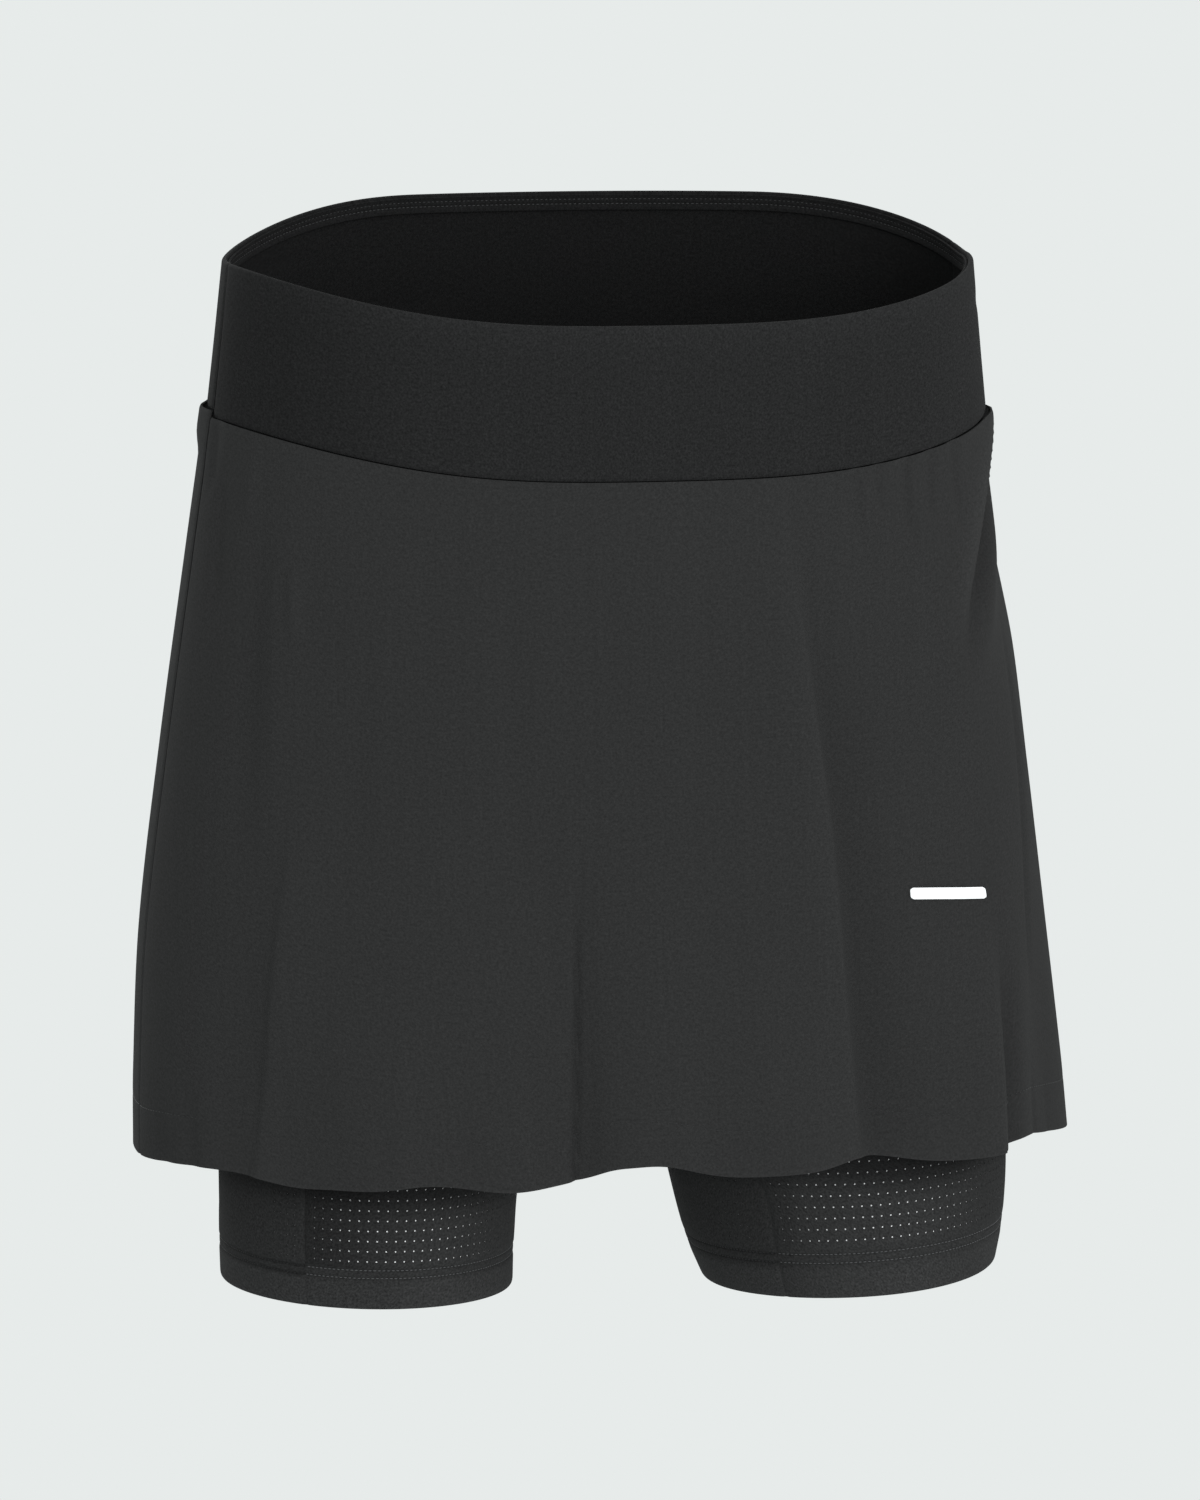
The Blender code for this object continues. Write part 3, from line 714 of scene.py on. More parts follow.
def dye_and_painted_light(tree, shader, colour, tone):
    """Colours a surface, lighter or darker by its tone, which holds painted light and shade too."""
    inputs = {"Factor": 1.0, 6: (*colour, 1), 7: tone}
    dyed = add_node(tree, "ShaderNodeMix", inputs, data_type="RGBA", blend_type="MULTIPLY")
    tree.links.new(dyed.outputs[2], shader.inputs["Base Color"])


def raise_surface(tree, shader, height, strength, distance):
    """Fine relief, too small for the mesh."""
    bump = add_node(tree, "ShaderNodeBump", {"Height": height, "Strength": strength, "Distance": distance})
    tree.links.new(bump.outputs["Normal"], shader.inputs["Normal"])


def cloth_material(name, colour, thread, grain, tufts, streaks):
    """Dark matt cloth: fine crossing threads, specks of fibre, small tufts, soft streaks, no shine."""
    material, tree, shader = new_material(name)
    shader.inputs["Roughness"].default_value = 0.9
    shader.inputs["Specular IOR Level"].default_value = 0.03
    shader.inputs["Sheen Weight"].default_value = 0.008
    shader.inputs["Sheen Roughness"].default_value = 0.6
    place = cloth_place(tree)
    inputs = {"Vector": place, "Scale": STREAK_SCALE}
    stretched = add_node(tree, "ShaderNodeMapping", inputs).outputs["Vector"]
    layers = table(
        "at scale detail roughness depth",
        (place, 1 / FIBRE_SIZE, 2.0, 0.6, grain),
        (place, 1 / TUFT_SIZE, 3.0, 0.55, tufts),
        (place, CLOUD_SCALE, 4.0, 0.6, MOTTLE),
        (stretched, 1.0, 2.0, 0.5, streaks),
    )
    tone, noises = piece_tone(tree), []
    for layer in layers:
        inputs = {"Vector": layer["at"], "Scale": layer["scale"], "Detail": layer["detail"]}
        noise = add_node(tree, "ShaderNodeTexNoise", {**inputs, "Roughness": layer["roughness"]})
        noises.append(noise.outputs["Fac"])
        swing = stretch(tree, noises[-1], 1 - layer["depth"], 1 + layer["depth"], 0.3, 0.7)
        tone = combine(tree, tone, swing)
    dye_and_painted_light(tree, shader, colour, tone)
    threads = {"Vector": place, "Scale": 0.5 / thread, "Distortion": 0.6}
    warp = add_node(tree, "ShaderNodeTexWave", threads, bands_direction="X").outputs["Fac"]
    weft = add_node(tree, "ShaderNodeTexWave", threads, bands_direction="Y").outputs["Fac"]
    relief = combine(tree, combine(tree, warp, weft), noises[0], "ADD")
    raise_surface(tree, shader, relief, 0.35, 0.12 * MM)
    return material


def thread_material(name, colour):
    """Twisted sewing thread: slanting plies, lighter or darker by the tone of each row."""
    material, tree, shader = new_material(name)
    shader.inputs["Roughness"].default_value = 0.6
    shader.inputs["Specular IOR Level"].default_value = 0.2
    inputs = {"Vector": cloth_place(tree), "Scale": 1600.0, "Distortion": 0.4}
    plies = add_node(tree, "ShaderNodeTexWave", inputs, bands_direction="DIAGONAL").outputs["Fac"]
    dye_and_painted_light(tree, shader, colour, combine(tree, piece_tone(tree), stretch(tree, plies, 0.75, 1.15)))
    return material


def film_material():
    """Satin silver-grey film with very fine glass beads."""
    material, tree, shader = new_material("reflective_film")
    shader.inputs["Roughness"].default_value = 0.38
    beads = add_node(tree, "ShaderNodeTexVoronoi", {"Vector": cloth_place(tree), "Scale": 2600.0})
    ramp = add_node(tree, "ShaderNodeValToRGB", {"Fac": beads.outputs["Distance"]})
    ramp.color_ramp.elements[0].color = (0.90, 0.91, 0.92, 1)
    ramp.color_ramp.elements[1].color = (0.80, 0.81, 0.82, 1)
    tree.links.new(ramp.outputs["Color"], shader.inputs["Base Color"])
    raise_surface(tree, shader, beads.outputs["Distance"], 0.2, 0.05 * MM)
    return material


# Small things, each modelled once and copied onto the cloth


def take_shape():
    """The points and faces of the mesh just made, which is then put away."""
    made = bpy.context.object
    points = np.array([vertex.co for vertex in made.data.vertices])
    faces = [list(polygon.vertices) for polygon in made.data.polygons]
    bpy.data.objects.remove(made)
    return points, faces


def turn_mesh(angle, axis):
    """Turns every point of the mesh just made, which stays open for editing."""
    bpy.ops.object.mode_set(mode="EDIT")
    bpy.ops.mesh.select_all(action="SELECT")
    bpy.ops.transform.rotate(value=angle, orient_axis=axis, center_override=(0, 0, 0))


def model_stitch():
    """One stitch along X: a short round thread, pinched where it enters the cloth."""
    bpy.ops.object.select_all(action="DESELECT")
    bpy.ops.mesh.primitive_uv_sphere_add(segments=6, ring_count=4, radius=0.5)
    turn_mesh(math.pi / 2, "Y")
    bpy.ops.transform.resize(value=(1, STITCH_WIDTH, STITCH_HEIGHT), center_override=(0, 0, 0))
    bpy.ops.object.mode_set(mode="OBJECT")
    return take_shape()


def model_light_coins():
    """One small pale coin under a perforation: painted light, standing in for the light that shows through
    it.
    """
    bpy.ops.object.select_all(action="DESELECT")
    bpy.ops.mesh.primitive_cylinder_add(vertices=HOLE_CORNERS, radius=LIGHT_COIN_RADIUS, depth=LIGHT_COIN_THICKNESS)
    turn_mesh(math.pi / HOLE_CORNERS, "Z")
    bpy.ops.object.mode_set(mode="OBJECT")
    return take_shape()


def scatter(shape, places, along, facing, lengths):
    """Copies of a shape at these places, X lying along the cloth and Z out of it."""
    model, model_faces = shape
    across = unit(np.cross(facing, along))
    along = np.cross(across, facing)
    points = (
        places[:, None]
        + model[None, :, 0:1] * (along * lengths[:, None])[:, None]
        + model[None, :, 1:2] * across[:, None]
        + model[None, :, 2:3] * facing[:, None]
    )
    faces = [[i * len(model) + v for v in face] for i in range(len(places)) for face in model_faces]
    sideways = np.broadcast_to(model[:, 1], points.shape[:2])
    return points.reshape(-1, 3), faces, np.stack([model[None, :, 0] * lengths[:, None], sideways], -1)


def run_along(line):
    """How far along a line each of its points lies."""
    return np.concatenate([[0], np.cumsum(np.linalg.norm(np.diff(line, axis=0), axis=1))])


def stitch_row(line, facing, pitch):
    """Places, directions and lengths of stitches along a line on the cloth."""
    run = run_along(line)
    at = np.arange(pitch / 2, run[-1] - pitch / 3, pitch)

    def between(values, distance):
        return np.stack([np.interp(distance, run, values[:, axis]) for axis in range(3)], -1)

    ahead, behind = between(line, at + 0.5 * MM), between(line, at - 0.5 * MM)
    out = unit(between(facing, at))
    return between(line, at), unit(ahead - behind), out, np.full(len(at), pitch * STITCH_FILLED)


def sew_rows(name, rows, tones, material, slot):
    """All the stitches of a panel as one piece."""
    stitch = model_stitch()
    found = [np.concatenate(column) for column in zip(*rows)]
    points, faces, uv = scatter(stitch, *found)
    tone = np.repeat(np.concatenate(tones), len(stitch[0]))
    piece = make_piece(name, points, faces, uv, material, slot, tone=tone)
    finish_shell(piece)
    return piece


# Pieces


def panel_angles(panel):
    """The angles of a panel's two side seams, going round to the wearer's left."""
    first, last = ("right", "left") if panel == "front" else ("left", "right")
    start, end = math.radians(SIDE_SEAMS[first]), math.radians(SIDE_SEAMS[last])
    return (start, end) if end > start else (start, end + 2 * math.pi)


def panel_columns(start, end, radius, step):
    """Angles of a panel's columns of points, between its two side seams."""
    return start + (SIDE_GAP / 2 + spaced((end - start) * radius - SIDE_GAP, step)) / radius


def band_facing(angle, down, panel):
    """The level direction out of the waistband."""
    step = 1e-4
    along = band_point(angle + step, down, panel) - band_point(angle - step, down, panel)
    return unit(np.stack([along[..., 1], -along[..., 0], 0 * along[..., 0]], -1))


def build_waistband(material):
    """Both halves of the band, folded over at the top, its two layers sewn flat together."""
    radius = BAND_WALL / 2
    turn = np.linspace(0, math.pi, BAND_FOLD_POINTS)
    for panel in ("front", "back"):
        start, end = panel_angles(panel)
        height = BAND_HEIGHTS[panel] - SEAM_GAP / 2
        angles = panel_columns(start, end, BAND_RADIUS, BAND_COLUMN)
        # up the outside, over the fold, and down the inside
        lower = height - spaced(height - radius, BAND_ROW, near_last=False)
        fold = [(radius - radius * math.sin(t), radius - radius * math.cos(t)) for t in turn[1:-1]]
        profile = [(d, 0.0) for d in lower] + fold + [(d, BAND_WALL) for d in lower[::-1]]
        profile = np.array(profile[::-1])
        depth, across = np.meshgrid(profile[:, 0], angles, indexing="ij")
        inset = profile[:, 1:] + 0 * across
        points = band_point(across, depth / height, panel)
        edge = np.minimum(across - angles[0], angles[-1] - across) * BAND_RADIUS
        creased = crease_sum(BAND_CREASES, across, depth, BAND_RADIUS)
        relief = dip(edge, SIDE_SEAM_DIP) + dip(height - depth, WAIST_SEAM_DIP) + creased
        relief = relief * (1 - inset / radius)
        points += band_facing(across, depth / height, panel) * (relief - inset)[..., None]
        rows, columns = points.shape[:2]
        faces = grid_faces(rows, columns, closed_down=True)
        ends = np.arange(rows) * columns
        faces += [ends[::-1].tolist(), (ends + columns - 1).tolist()]
        # painted highlight along the fold at the top, where it catches the light
        # painted light on the band's upper part
        tone = 1 + EDGE_HIGHLIGHT * fade(depth, BAND_EDGE_HIGHLIGHT_REACH) + BAND_TOP_PAINTED_LIGHT * fade(depth, BAND_TOP_REACH)
        # painted shade on the band's inner face
        tone *= 1 + (INSIDE_SHADE_TONE - 1) * smooth_step(inset, INSIDE_SHADE_FROM * BAND_WALL, INSIDE_SHADE_TO * BAND_WALL)
        # painted shade towards the band's sides
        for darkest, darker, spread in BAND_SIDE_SHADE:
            tone *= 1 - darker * fade(degrees_past(across, darkest), spread)
        uv = np.stack([across * BAND_RADIUS, -depth + inset], axis=-1)
        node = f"waistband_{panel}"
        piece = make_piece(f"{node}_cloth", points, faces, uv, material, "waistband_knit", [node], tone)
        finish_shell(piece)


def build_edge_strip(material, thread):
    """The narrow strip that finishes the top edge inside, with its two rows of stitches."""
    turns = int(round(2 * math.pi * BAND_RADIUS / BAND_COLUMN))
    angles = np.arange(turns) * 2 * math.pi / turns
    low, high = STRIP_BELOW_EDGE + STRIP_HEIGHT, STRIP_BELOW_EDGE
    share = STRIP_PROFILE / STRIP_PROFILE[-1]
    down = high + (low - high) * share
    row_dip = sum(dip(down - row, STITCH_DIP) for row in STRIP_ROWS)
    bulge = STRIP_WALL - STRIP_ROUNDING * (share == 0) - STRIP_ROUNDING * (share == 1) + row_dip
    profile = [(high + STRIP_LAP, 0.0), (low - STRIP_LAP, 0.0)]
    profile += list(zip(down[::-1], bulge[::-1]))
    depth, across = np.meshgrid([row[0] for row in profile], angles, indexing="ij")
    inset = BAND_WALL + SEAM_GAP + np.array([row[1] for row in profile])[:, None] + 0 * across
    share = depth / BAND_HEIGHTS["front"]
    points = band_point(across, share, "front") - band_facing(across, share, "front") * inset[..., None]
    rows, columns = points.shape[:2]
    faces = grid_faces(rows, columns, closed_down=True, closed_round=True)
    uv = np.stack([across * BAND_RADIUS, depth], axis=-1)
    # painted shade, as inside the band
    tone = np.full(points.shape[:2], STRIP_INSIDE_SHADE)
    strip = make_piece(
        "waist_edge_strip_cloth", points, faces, uv, material, "waistband_knit", ["waist_edge_strip"], tone
    )
    finish_shell(strip)
    rows = []
    ring = np.linspace(0, 2 * math.pi, 3 * turns)
    for row in STRIP_ROWS:
        share = np.full_like(ring, row / BAND_HEIGHTS["front"])
        facing = -band_facing(ring, share, "front")
        inset = BAND_WALL + SEAM_GAP + STRIP_WALL - STITCH_DIP[0]
        rows.append(stitch_row(band_point(ring, share, "front") + facing * inset, facing, STRIP_PITCH))
    tones = [np.full(len(row[0]), STRIP_STITCH_TONE) for row in rows]
    return [strip, sew_rows("waist_edge_stitches", rows, tones, thread, "waistband_knit")]


def skirt_facing(across, down, panel):
    """Which way the plain skirt faces at these places."""
    step = 1e-3
    beside = skirt_point(across + step, down, panel) - skirt_point(across - step, down, panel)
    under = skirt_point(across, down + step, panel) - skirt_point(across, down - step, panel)
    return unit(np.cross(under, beside))


def skirt_cloth(across, down, panel, start, end):
    """The skirt's outer face with its creases, and where it is drawn into its seams."""
    points = skirt_point(across, down, panel)
    below = down * SKIRT_LENGTH
    edge = np.minimum(across - start, end - across) * SKIRT_RADIUS
    relief = dip(edge, SIDE_SEAM_DIP) + dip(below, WAIST_SEAM_DIP)
    relief += dip(below - (SKIRT_LENGTH - SKIRT_HEM_DEPTH), SKIRT_STITCH_DIP)
    relief += crease_sum(SKIRT_CREASES, across, below, SKIRT_RADIUS)
    facing = skirt_facing(across, down, panel)
    return points + facing * relief[..., None], facing


def build_skirt(material, thread, bar):
    """The front and the back of the skirt, each a loose panel with a turned-up hem."""
    for panel in ("front", "back"):
        start, end = panel_angles(panel)
        angles = panel_columns(start, end, SKIRT_RADIUS, SKIRT_COLUMNS[panel])
        hem_top = SKIRT_LENGTH - SKIRT_HEM_DEPTH
        upper = spaced(hem_top - SKIRT_ROWS_END, SKIRT_ROW, near_last=False)
        lower = hem_top + np.array(SKIRT_HEM_ROWS) * MM
        downs = np.concatenate([upper, lower]) / SKIRT_LENGTH
        across, down = np.meshgrid(angles, downs)
        points, facing = skirt_cloth(across, down, panel, start, end)
        # painted highlight along the hem's folded edge; the creases then add painted light and shade
        tone = 1 + EDGE_HIGHLIGHT * fade((1 - down) * SKIRT_LENGTH, HEM_EDGE_HIGHLIGHT_REACH)
        tone *= 1 + crease_sum(SKIRT_CREASES, across, down * SKIRT_LENGTH, SKIRT_RADIUS, shading=True)
        rows, columns = points.shape[:2]
        faces, uv = grid_faces(rows, columns), cloth_uv(points)
        node = f"skirt_{panel}"
        piece = make_piece(f"{node}_cloth", points, faces, uv, material, "skirt_woven", [node], tone)
        in_hem = downs >= hem_top / SKIRT_LENGTH - NEARLY
        hem = np.arange(rows * columns).reshape(rows, columns)[in_hem].ravel()
        finish_shell(piece, SKIRT_WALL, SKIRT_HEM_WALL, hem)
        stitched = int(np.argmin(np.abs(downs - hem_top / SKIRT_LENGTH)))
        line = points[stitched], facing[stitched]
        row = stitch_row(*line, SKIRT_PITCH)
        tones = [np.full(len(row[0]), SKIRT_STITCH_TONE)]
        stitches = sew_rows(f"{node}_hem_stitches", [row], tones, thread, "skirt_woven")


def leg_rows(side):
    """Rows of a leg panel from the waist seam down to the hem, and which hold perforations."""
    lowest_hole = HOLES_ABOVE_HEM[side]
    stitched = [row + near * MM for row in LEG_ROWS[side] for near in BESIDE_STITCHES]
    hem = sorted([z * MM for z in LEG_HEM_ROWS] + stitched)
    hem = [z for z in hem if z < lowest_hole - ROW_GAP]
    holes = np.arange(lowest_hole, HOLES_UP_TO_Z - LEG_HEM_Z, HOLE_ROW_PITCH[side])
    fork = CROTCH_Z - LEG_HEM_Z + FORK_ROWS * MM
    upper = np.linspace(fork[-1], SHORTS_TOP_Z - LEG_HEM_Z, ROWS_ABOVE_FORK)[1:]
    above = np.concatenate([hem, holes, fork, upper])
    kept = (above >= lowest_hole - NEARLY) & (above < holes[-1] - NEARLY)
    return LEG_HEM_Z + above[::-1], kept[::-1][1:]


def leg_columns(side, panel):
    """Shares of the way across a leg panel, and which of the gaps between hold perforations."""
    first, last = panel_edges(side, panel, np.array([PERFORATED_FROM_Z]))
    share = np.linspace(0, 1, 400)
    run = run_along(shorts_point(side, first + (last - first) * share, np.full(400, PERFORATED_FROM_Z)))
    length = run[-1]
    zone_start, zone_end = PERFORATED[side][panel]
    zone_start = zone_start * MM if zone_start >= 0 else length + zone_start * MM
    zone_end = zone_end * MM if zone_end > 0 else length + zone_end * MM
    cells = int(round((zone_end - zone_start) / HOLE_ACROSS))
    zone = zone_start + np.arange(cells + 1) * (zone_end - zone_start) / cells

    def beside_zone(width):
        return spaced(width, LEG_COLUMN, near_last=False) if width > NARROW_STRIP else NEAR_SEAM * MM

    before, after = beside_zone(zone_start), (length - beside_zone(length - zone_end))[::-1]
    before, after = before[before < zone_start - COLUMN_GAP], after[after > zone_end + COLUMN_GAP]
    places = np.concatenate([before, zone, after])
    kept = (places >= zone_start - NEARLY) & (places < zone_end - 1000 * NEARLY)
    return np.interp(places, run, share), kept[:-1], length, places


def perforate(points, facing, uv, cells):
    """Faces of a grid where each chosen cell is cut open by a round hole.

    Gives the points, the map places and the faces of the cloth, and the middles of the holes.
    """
    rows, columns = points.shape[:2]
    index = np.arange(rows * columns).reshape(rows, columns)
    quads = np.stack([index[:-1, :-1], index[1:, :-1], index[1:, 1:], index[:-1, 1:]], -1)
    flat_points, flat_uv = points.reshape(-1, 3), uv.reshape(-1, 2)
    corners = quads[cells]
    middles = flat_points[corners].mean(axis=1)
    middle_uv = flat_uv[corners].mean(axis=1)
    out = unit(facing.reshape(-1, 3)[corners].mean(axis=1))
    down = unit(flat_points[corners[:, 1]] - flat_points[corners[:, 0]])
    along = unit(np.cross(down, out))
    across_cell = flat_points[corners[:, 3]] - flat_points[corners[:, 0]]
    along *= np.sign(np.sum(along * across_cell, -1, keepdims=True))
    turn = np.radians(225 - 45 * np.arange(HOLE_CORNERS))
    ring = middles[:, None] + HOLE_RADIUS * (
        np.cos(turn)[None, :, None] * along[:, None] + np.sin(turn)[None, :, None] * down[:, None]
    )
    ring_uv = middle_uv[:, None] + HOLE_RADIUS * np.stack([np.cos(turn), -np.sin(turn)], -1)[None]
    ring_index = rows * columns + np.arange(len(corners) * HOLE_CORNERS).reshape(-1, HOLE_CORNERS)
    faces = quads[~cells].tolist()
    for side in range(4):
        rim = [ring_index[:, (2 * side + i) % HOLE_CORNERS] for i in (2, 1, 0)]
        faces += np.stack([corners[:, side], corners[:, (side + 1) % 4], *rim], -1).tolist()
    all_points = np.concatenate([flat_points, ring.reshape(-1, 3)])
    all_uv = np.concatenate([flat_uv, ring_uv.reshape(-1, 2)])
    return all_points, all_uv, faces, middles, along, out


def leg_tone(side, panel, z, places, length, points):
    """How light each point of a leg panel is, with painted light and shade, and what share of that the
    skirt's painted shadow leaves.
    """
    above = z - LEG_HEM_Z
    tone = np.full(z.shape, LEG_TONES[side][panel])
    if panel == "front":
        # painted shade across the front panel, from its seam
        from_seam = places if side == "left" else length - places
        beside, lighter, lighter_from, lighter_to, darker = PAINTED_SHADE_FROM_SEAM[side]
        tone *= beside + lighter * smooth_step(from_seam, lighter_from * MM, lighter_to * MM)[None, :]
        tone *= 1 - darker * smooth_step(from_seam, DARKER_FROM, DARKER_TO)[None, :]
    # the hem painted lighter, and kept out of the painted shade beside the seam
    in_hem = smooth_step(-above, -HOLES_ABOVE_HEM[side], -LEG_ROWS[side][0])
    tone += (np.maximum(tone, HEM_TONE_LEAST * LEG_TONES[side][panel]) - tone) * in_hem
    tone *= 1 + (HEM_PAINTED_LIGHT[panel] - 1) * in_hem
    # painted shade in the grooves along the rows of stitches
    for row in LEG_ROWS[side]:
        tone *= 1 - STITCH_GROOVE_SHADE[panel] * fade(above - row, STITCH_GROOVE_REACH)
    # painted shadow of the skirt on the leg, just under its hem
    round_body = np.arctan2(points[..., 0], -points[..., 1])
    below_skirt = SKIRT_HEM_Z - fold_sum(round_body, np.ones_like(z), "drop") - z
    out_of_skirt_shadow = 1 - SKIRT_SHADOW * (1 - smooth_step(below_skirt, SKIRT_SHADOW_FROM, SKIRT_SHADOW_TO))
    tone *= out_of_skirt_shadow
    # painted highlight along the hem's folded edge
    tone *= 1 + EDGE_HIGHLIGHT * np.exp(-above / HEM_EDGE_HIGHLIGHT_REACH)
    return tone, out_of_skirt_shadow


def painted_hole_light(panel, place, length):
    """How much painted light shows in each perforation: least beside the seams and edges."""
    least = PAINTED_HOLE_LIGHT[panel]
    if panel == "back":
        return np.full(len(place), least)
    near = np.minimum(place, length - place)
    return least + (1 - least) * smooth_step(near, PAINTED_HOLE_LIGHT_FROM, PAINTED_HOLE_LIGHT_TO)


def build_shorts(material, thread, painted_light_coins):
    """The close-fitting shorts: four panels, perforated on the legs, with twin-sewn hems."""
    for side, leg in LEGS.items():
        heights, hole_rows = leg_rows(side)
        for panel in ("front", "back"):
            first, last = panel_edges(side, panel, heights)
            share, hole_columns, length, places = leg_columns(side, panel)
            z, shares = np.meshgrid(heights, share, indexing="ij")
            across = first[:, None] + (last - first)[:, None] * shares
            points = shorts_point(side, across, z)
            above = z - LEG_HEM_Z
            edge = np.minimum(places, length - places)[None, :] + 0 * z
            relief = dip(edge, SIDE_SEAM_DIP) + sum(dip(above - row, STITCH_DIP) for row in LEG_ROWS[side])
            relief += crease_sum(LEG_CREASES[side], across, above, LEG_RADIUS)
            relief -= HEM_ROUNDING * np.exp(-above / HEM_ROUNDING_REACH)
            facing = outward(points) * leg["side"]
            points = points + facing * relief[..., None]
            # the centre seam, sewn shut down to the fork
            points[heights > CROTCH_Z - FORK_CLOSED, 0 if panel == "front" else -1, 0] = 0
            cells = hole_rows[:, None] & hole_columns[None, :]
            tone, out_of_skirt_shadow = leg_tone(side, panel, z, places, length, points)
            cloth, uv, faces, middles, along, out = perforate(points, facing, cloth_uv(points), cells)
            tone = np.concatenate([tone.ravel(), np.repeat(tone[:-1, :-1][cells], HOLE_CORNERS)])
            if leg["side"] < 0:
                faces = [face[::-1] for face in faces]
            node = f"shorts_{side}_{panel}"
            piece = make_piece(f"{node}_cloth", cloth, faces, uv, material, "shorts_knit", [node], tone)
            rows, columns = points.shape[:2]
            hem = np.arange(rows * columns).reshape(rows, columns)[above[:, 0] <= LEG_HEM_DEPTH].ravel()
            finish_shell(piece, SHORTS_WALL, SHORTS_HEM_WALL, hem)
            if len(middles):
                coin, sunk = model_light_coins(), middles - out * LIGHT_COIN_DEPTH
                scattered = scatter(coin, sunk, along, out, np.ones(len(sunk)))
                place = np.broadcast_to((places[:-1] + places[1:]) / 2, cells.shape)[cells]
                # painted light in the holes, dimmed by the skirt's painted shadow
                light = painted_hole_light(panel, place, length) * out_of_skirt_shadow[:-1, :-1][cells]
                light = np.repeat(light, len(coin[0]))
                light_coins = make_piece(f"{node}_lining", *scattered, painted_light_coins, "shorts_knit", tone=light)
                finish_shell(light_coins)
            found, tones = [], []
            for row in LEG_ROWS[side]:
                level = int(np.argmin(np.abs(above[:, 0] - row)))
                found.append(stitch_row(points[level, 1:-1], facing[level, 1:-1], LEG_PITCH))
                tones.append(np.full(len(found[-1][0]), LEG_STITCH_TONES[side][panel]))
            sew_rows(f"{node}_hem_stitches", found, tones, thread, "shorts_knit")


def build_bar(material):
    """The plain reflective bar: a rounded strip of film, laid on the skirt's cloth."""
    bpy.ops.object.select_all(action="DESELECT")
    bpy.ops.mesh.primitive_grid_add(x_subdivisions=BAR_COLUMNS, y_subdivisions=BAR_ROWS, size=1)
    local, faces = take_shape()
    height = local[:, 1] * BAR_HEIGHT
    into_corner = np.clip(np.abs(height) - (BAR_HEIGHT / 2 - BAR_CORNER), 0, BAR_CORNER)
    shortened = BAR_CORNER - np.sqrt(BAR_CORNER**2 - into_corner**2)
    along = local[:, 0] * 2 * (BAR_LENGTH / 2 - shortened)
    start, end = panel_angles("front")
    middle = math.radians(BAR_ANGLE)
    reach = np.linalg.norm(skirt_point(np.array(middle), np.array(BAR_DOWN), "front")[:2])
    angle = middle + along / reach
    share = 2 * along / BAR_LENGTH
    down = BAR_DOWN - height / SKIRT_LENGTH + BAR_LEVELLING * share + BAR_STRAIGHTENING * share**2
    step = 1e-3
    place = [skirt_cloth(angle + a, down + d, "front", start, end) for a, d in ((0, 0), (step, 0), (0, step))]
    points, beside, under = [found[0] for found in place]
    facing = unit(np.cross(under - points, beside - points))
    points = points + facing * (BAR_LIFT + BAR_FILM)
    uv = np.stack([along, height], axis=-1)
    replaces = ["reflective_bar"]
    bar = make_piece("reflective_bar_film", points, faces, uv, material, "reflective_film", replaces)
    select_only(bar)
    film = bar.modifiers.new("film", "SOLIDIFY")
    film.thickness = BAR_FILM
    film.offset = -1
    bpy.ops.object.modifier_apply(modifier=film.name)
    rounded = bar.modifiers.new("edge", "BEVEL")
    rounded.width = BAR_ROUNDING
    rounded.segments = 2
    rounded.angle_limit = math.radians(50)
    bpy.ops.object.modifier_apply(modifier=rounded.name)
    finish_shell(bar)
    return bar


# Stage


def direction(azimuth, elevation):
    """The way from the garment to a lamp or the camera, from degrees round it and up."""
    azimuth, elevation = math.radians(azimuth), math.radians(elevation)
    level = math.cos(elevation)
    return Vector((math.sin(azimuth) * level, -math.cos(azimuth) * level, math.sin(elevation)))


def faces_garment(way):
    """How a lamp or the camera is turned to look back along this way."""
    return (-way).to_track_quat("-Z", "Y").to_euler()


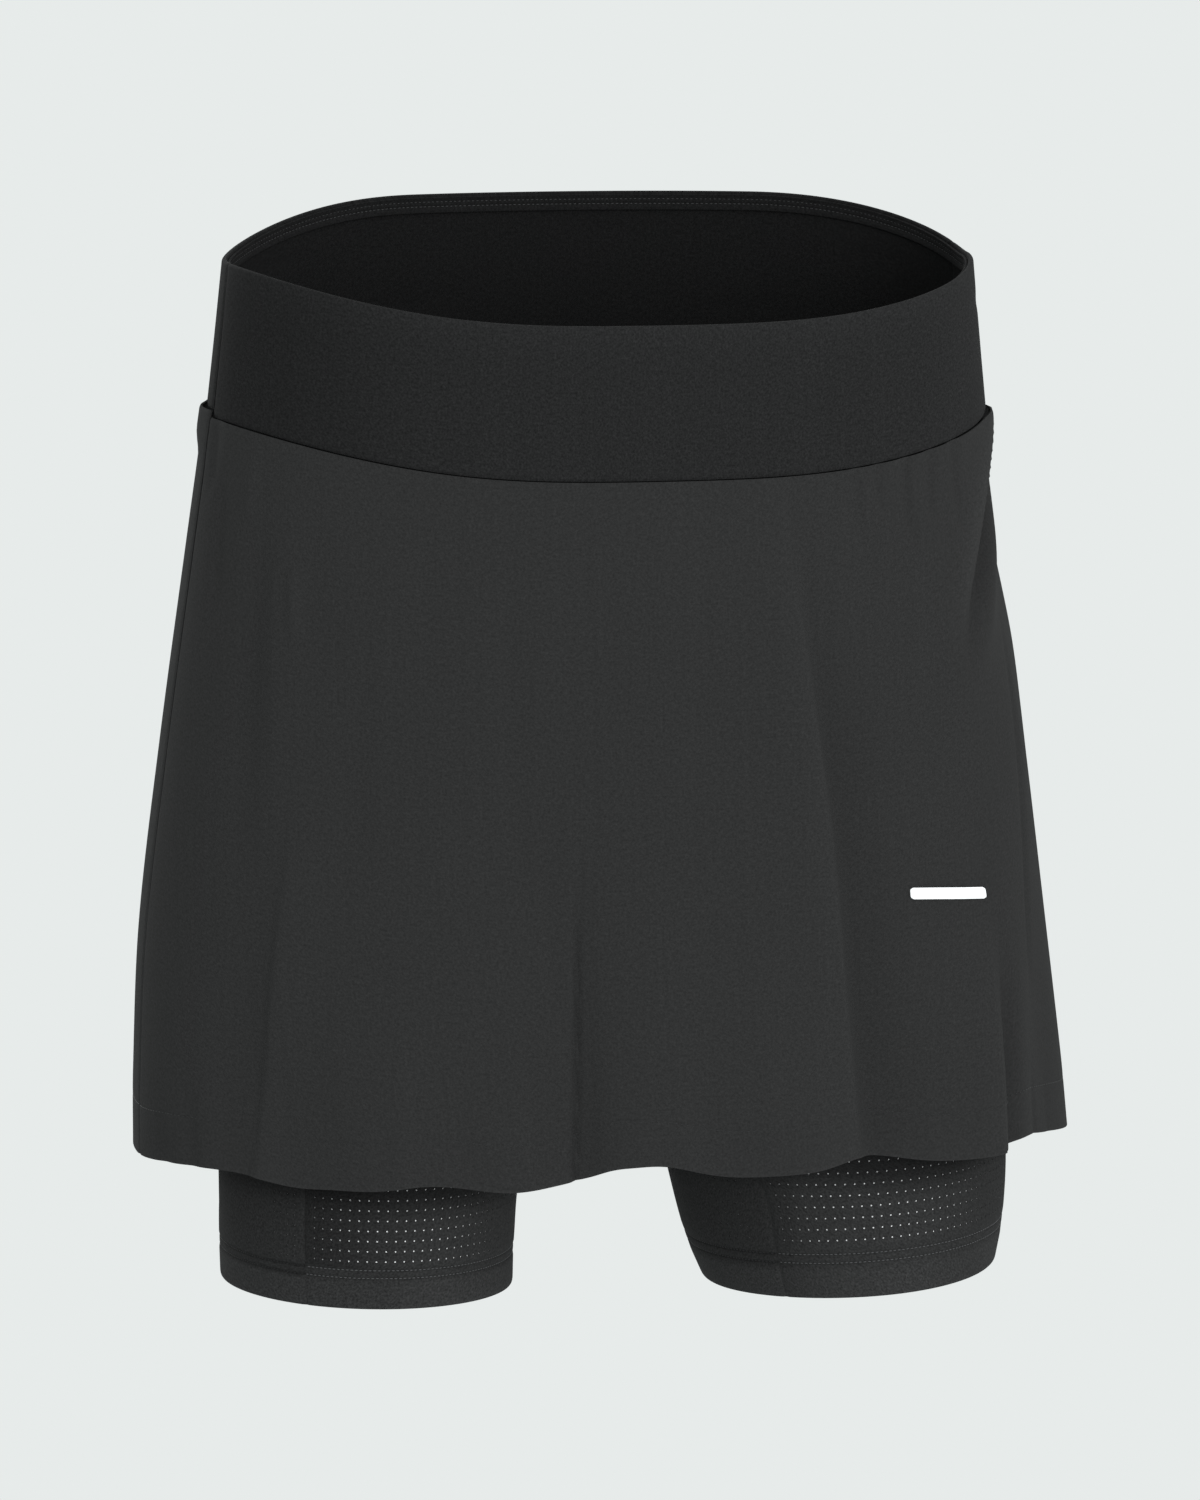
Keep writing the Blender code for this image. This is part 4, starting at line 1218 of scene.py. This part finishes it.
def build_stage():
    """The plain pale surroundings, the floor under the garment, and soft light."""
    scene = bpy.context.scene
    scene.view_settings.view_transform = "Standard"
    world = bpy.data.worlds.new("studio")
    world.use_nodes = True
    world.node_tree.nodes["Background"].inputs["Color"].default_value = (*BACKDROP, 1)
    scene.world = world
    bpy.ops.object.select_all(action="DESELECT")
    middle = 0, 0, FLOOR_Z
    bpy.ops.mesh.primitive_circle_add(vertices=128, radius=FLOOR_RADIUS, fill_type="NGON", location=middle)
    floor = bpy.context.object
    floor.name = "floor"
    material, tree, shader = new_material("floor")
    shader.inputs["Base Color"].default_value = (*FLOOR_COLOUR, 1)
    shader.inputs["Roughness"].default_value = 1.0
    side = add_node(tree, "ShaderNodeNewGeometry")
    clear = add_node(tree, "ShaderNodeBsdfTransparent")
    inputs = {0: side.outputs["Backfacing"], 1: shader.outputs["BSDF"], 2: clear.outputs["BSDF"]}
    one_sided = add_node(tree, "ShaderNodeMixShader", inputs)
    tree.links.new(one_sided.outputs["Shader"], tree.nodes["Material Output"].inputs["Surface"])
    floor.data.materials.append(material)
    for sun in SUNS:
        light = bpy.data.lights.new(sun["name"], "SUN")
        light.energy = sun["energy"]
        light.angle = math.radians(sun["spread"])
        lamp = bpy.data.objects.new(sun["name"], light)
        lamp.rotation_euler = faces_garment(direction(sun["azimuth"], sun["elevation"]))
        scene.collection.objects.link(lamp)


def build_camera():
    """The camera, where the photographer's was."""
    back = direction(CAMERA_AZIMUTH, CAMERA_ELEVATION)
    lens = bpy.data.cameras.new("camera")
    lens.lens = CAMERA_LENS
    lens.sensor_width = 36
    camera = bpy.data.objects.new("camera", lens)
    camera.location = Vector(LOOKS_AT) + back * CAMERA_DISTANCE
    camera.rotation_euler = faces_garment(back)
    bpy.context.scene.collection.objects.link(camera)
    bpy.context.scene.camera = camera


band_knit, skirt_weave, shorts_knit = [cloth_material(**cloth) for cloth in CLOTHS]
thread = thread_material("sewing_thread", THREAD_COLOUR)
painted_light_coins = thread_material("pale_painted_light_coins", PAINTED_LIGHT_COIN_COLOUR)
edging = build_edge_strip(band_knit, thread)
build_waistband(band_knit)
build_skirt(skirt_weave, thread, build_bar(film_material()))
build_shorts(shorts_knit, thread, painted_light_coins)
build_stage()
build_camera()
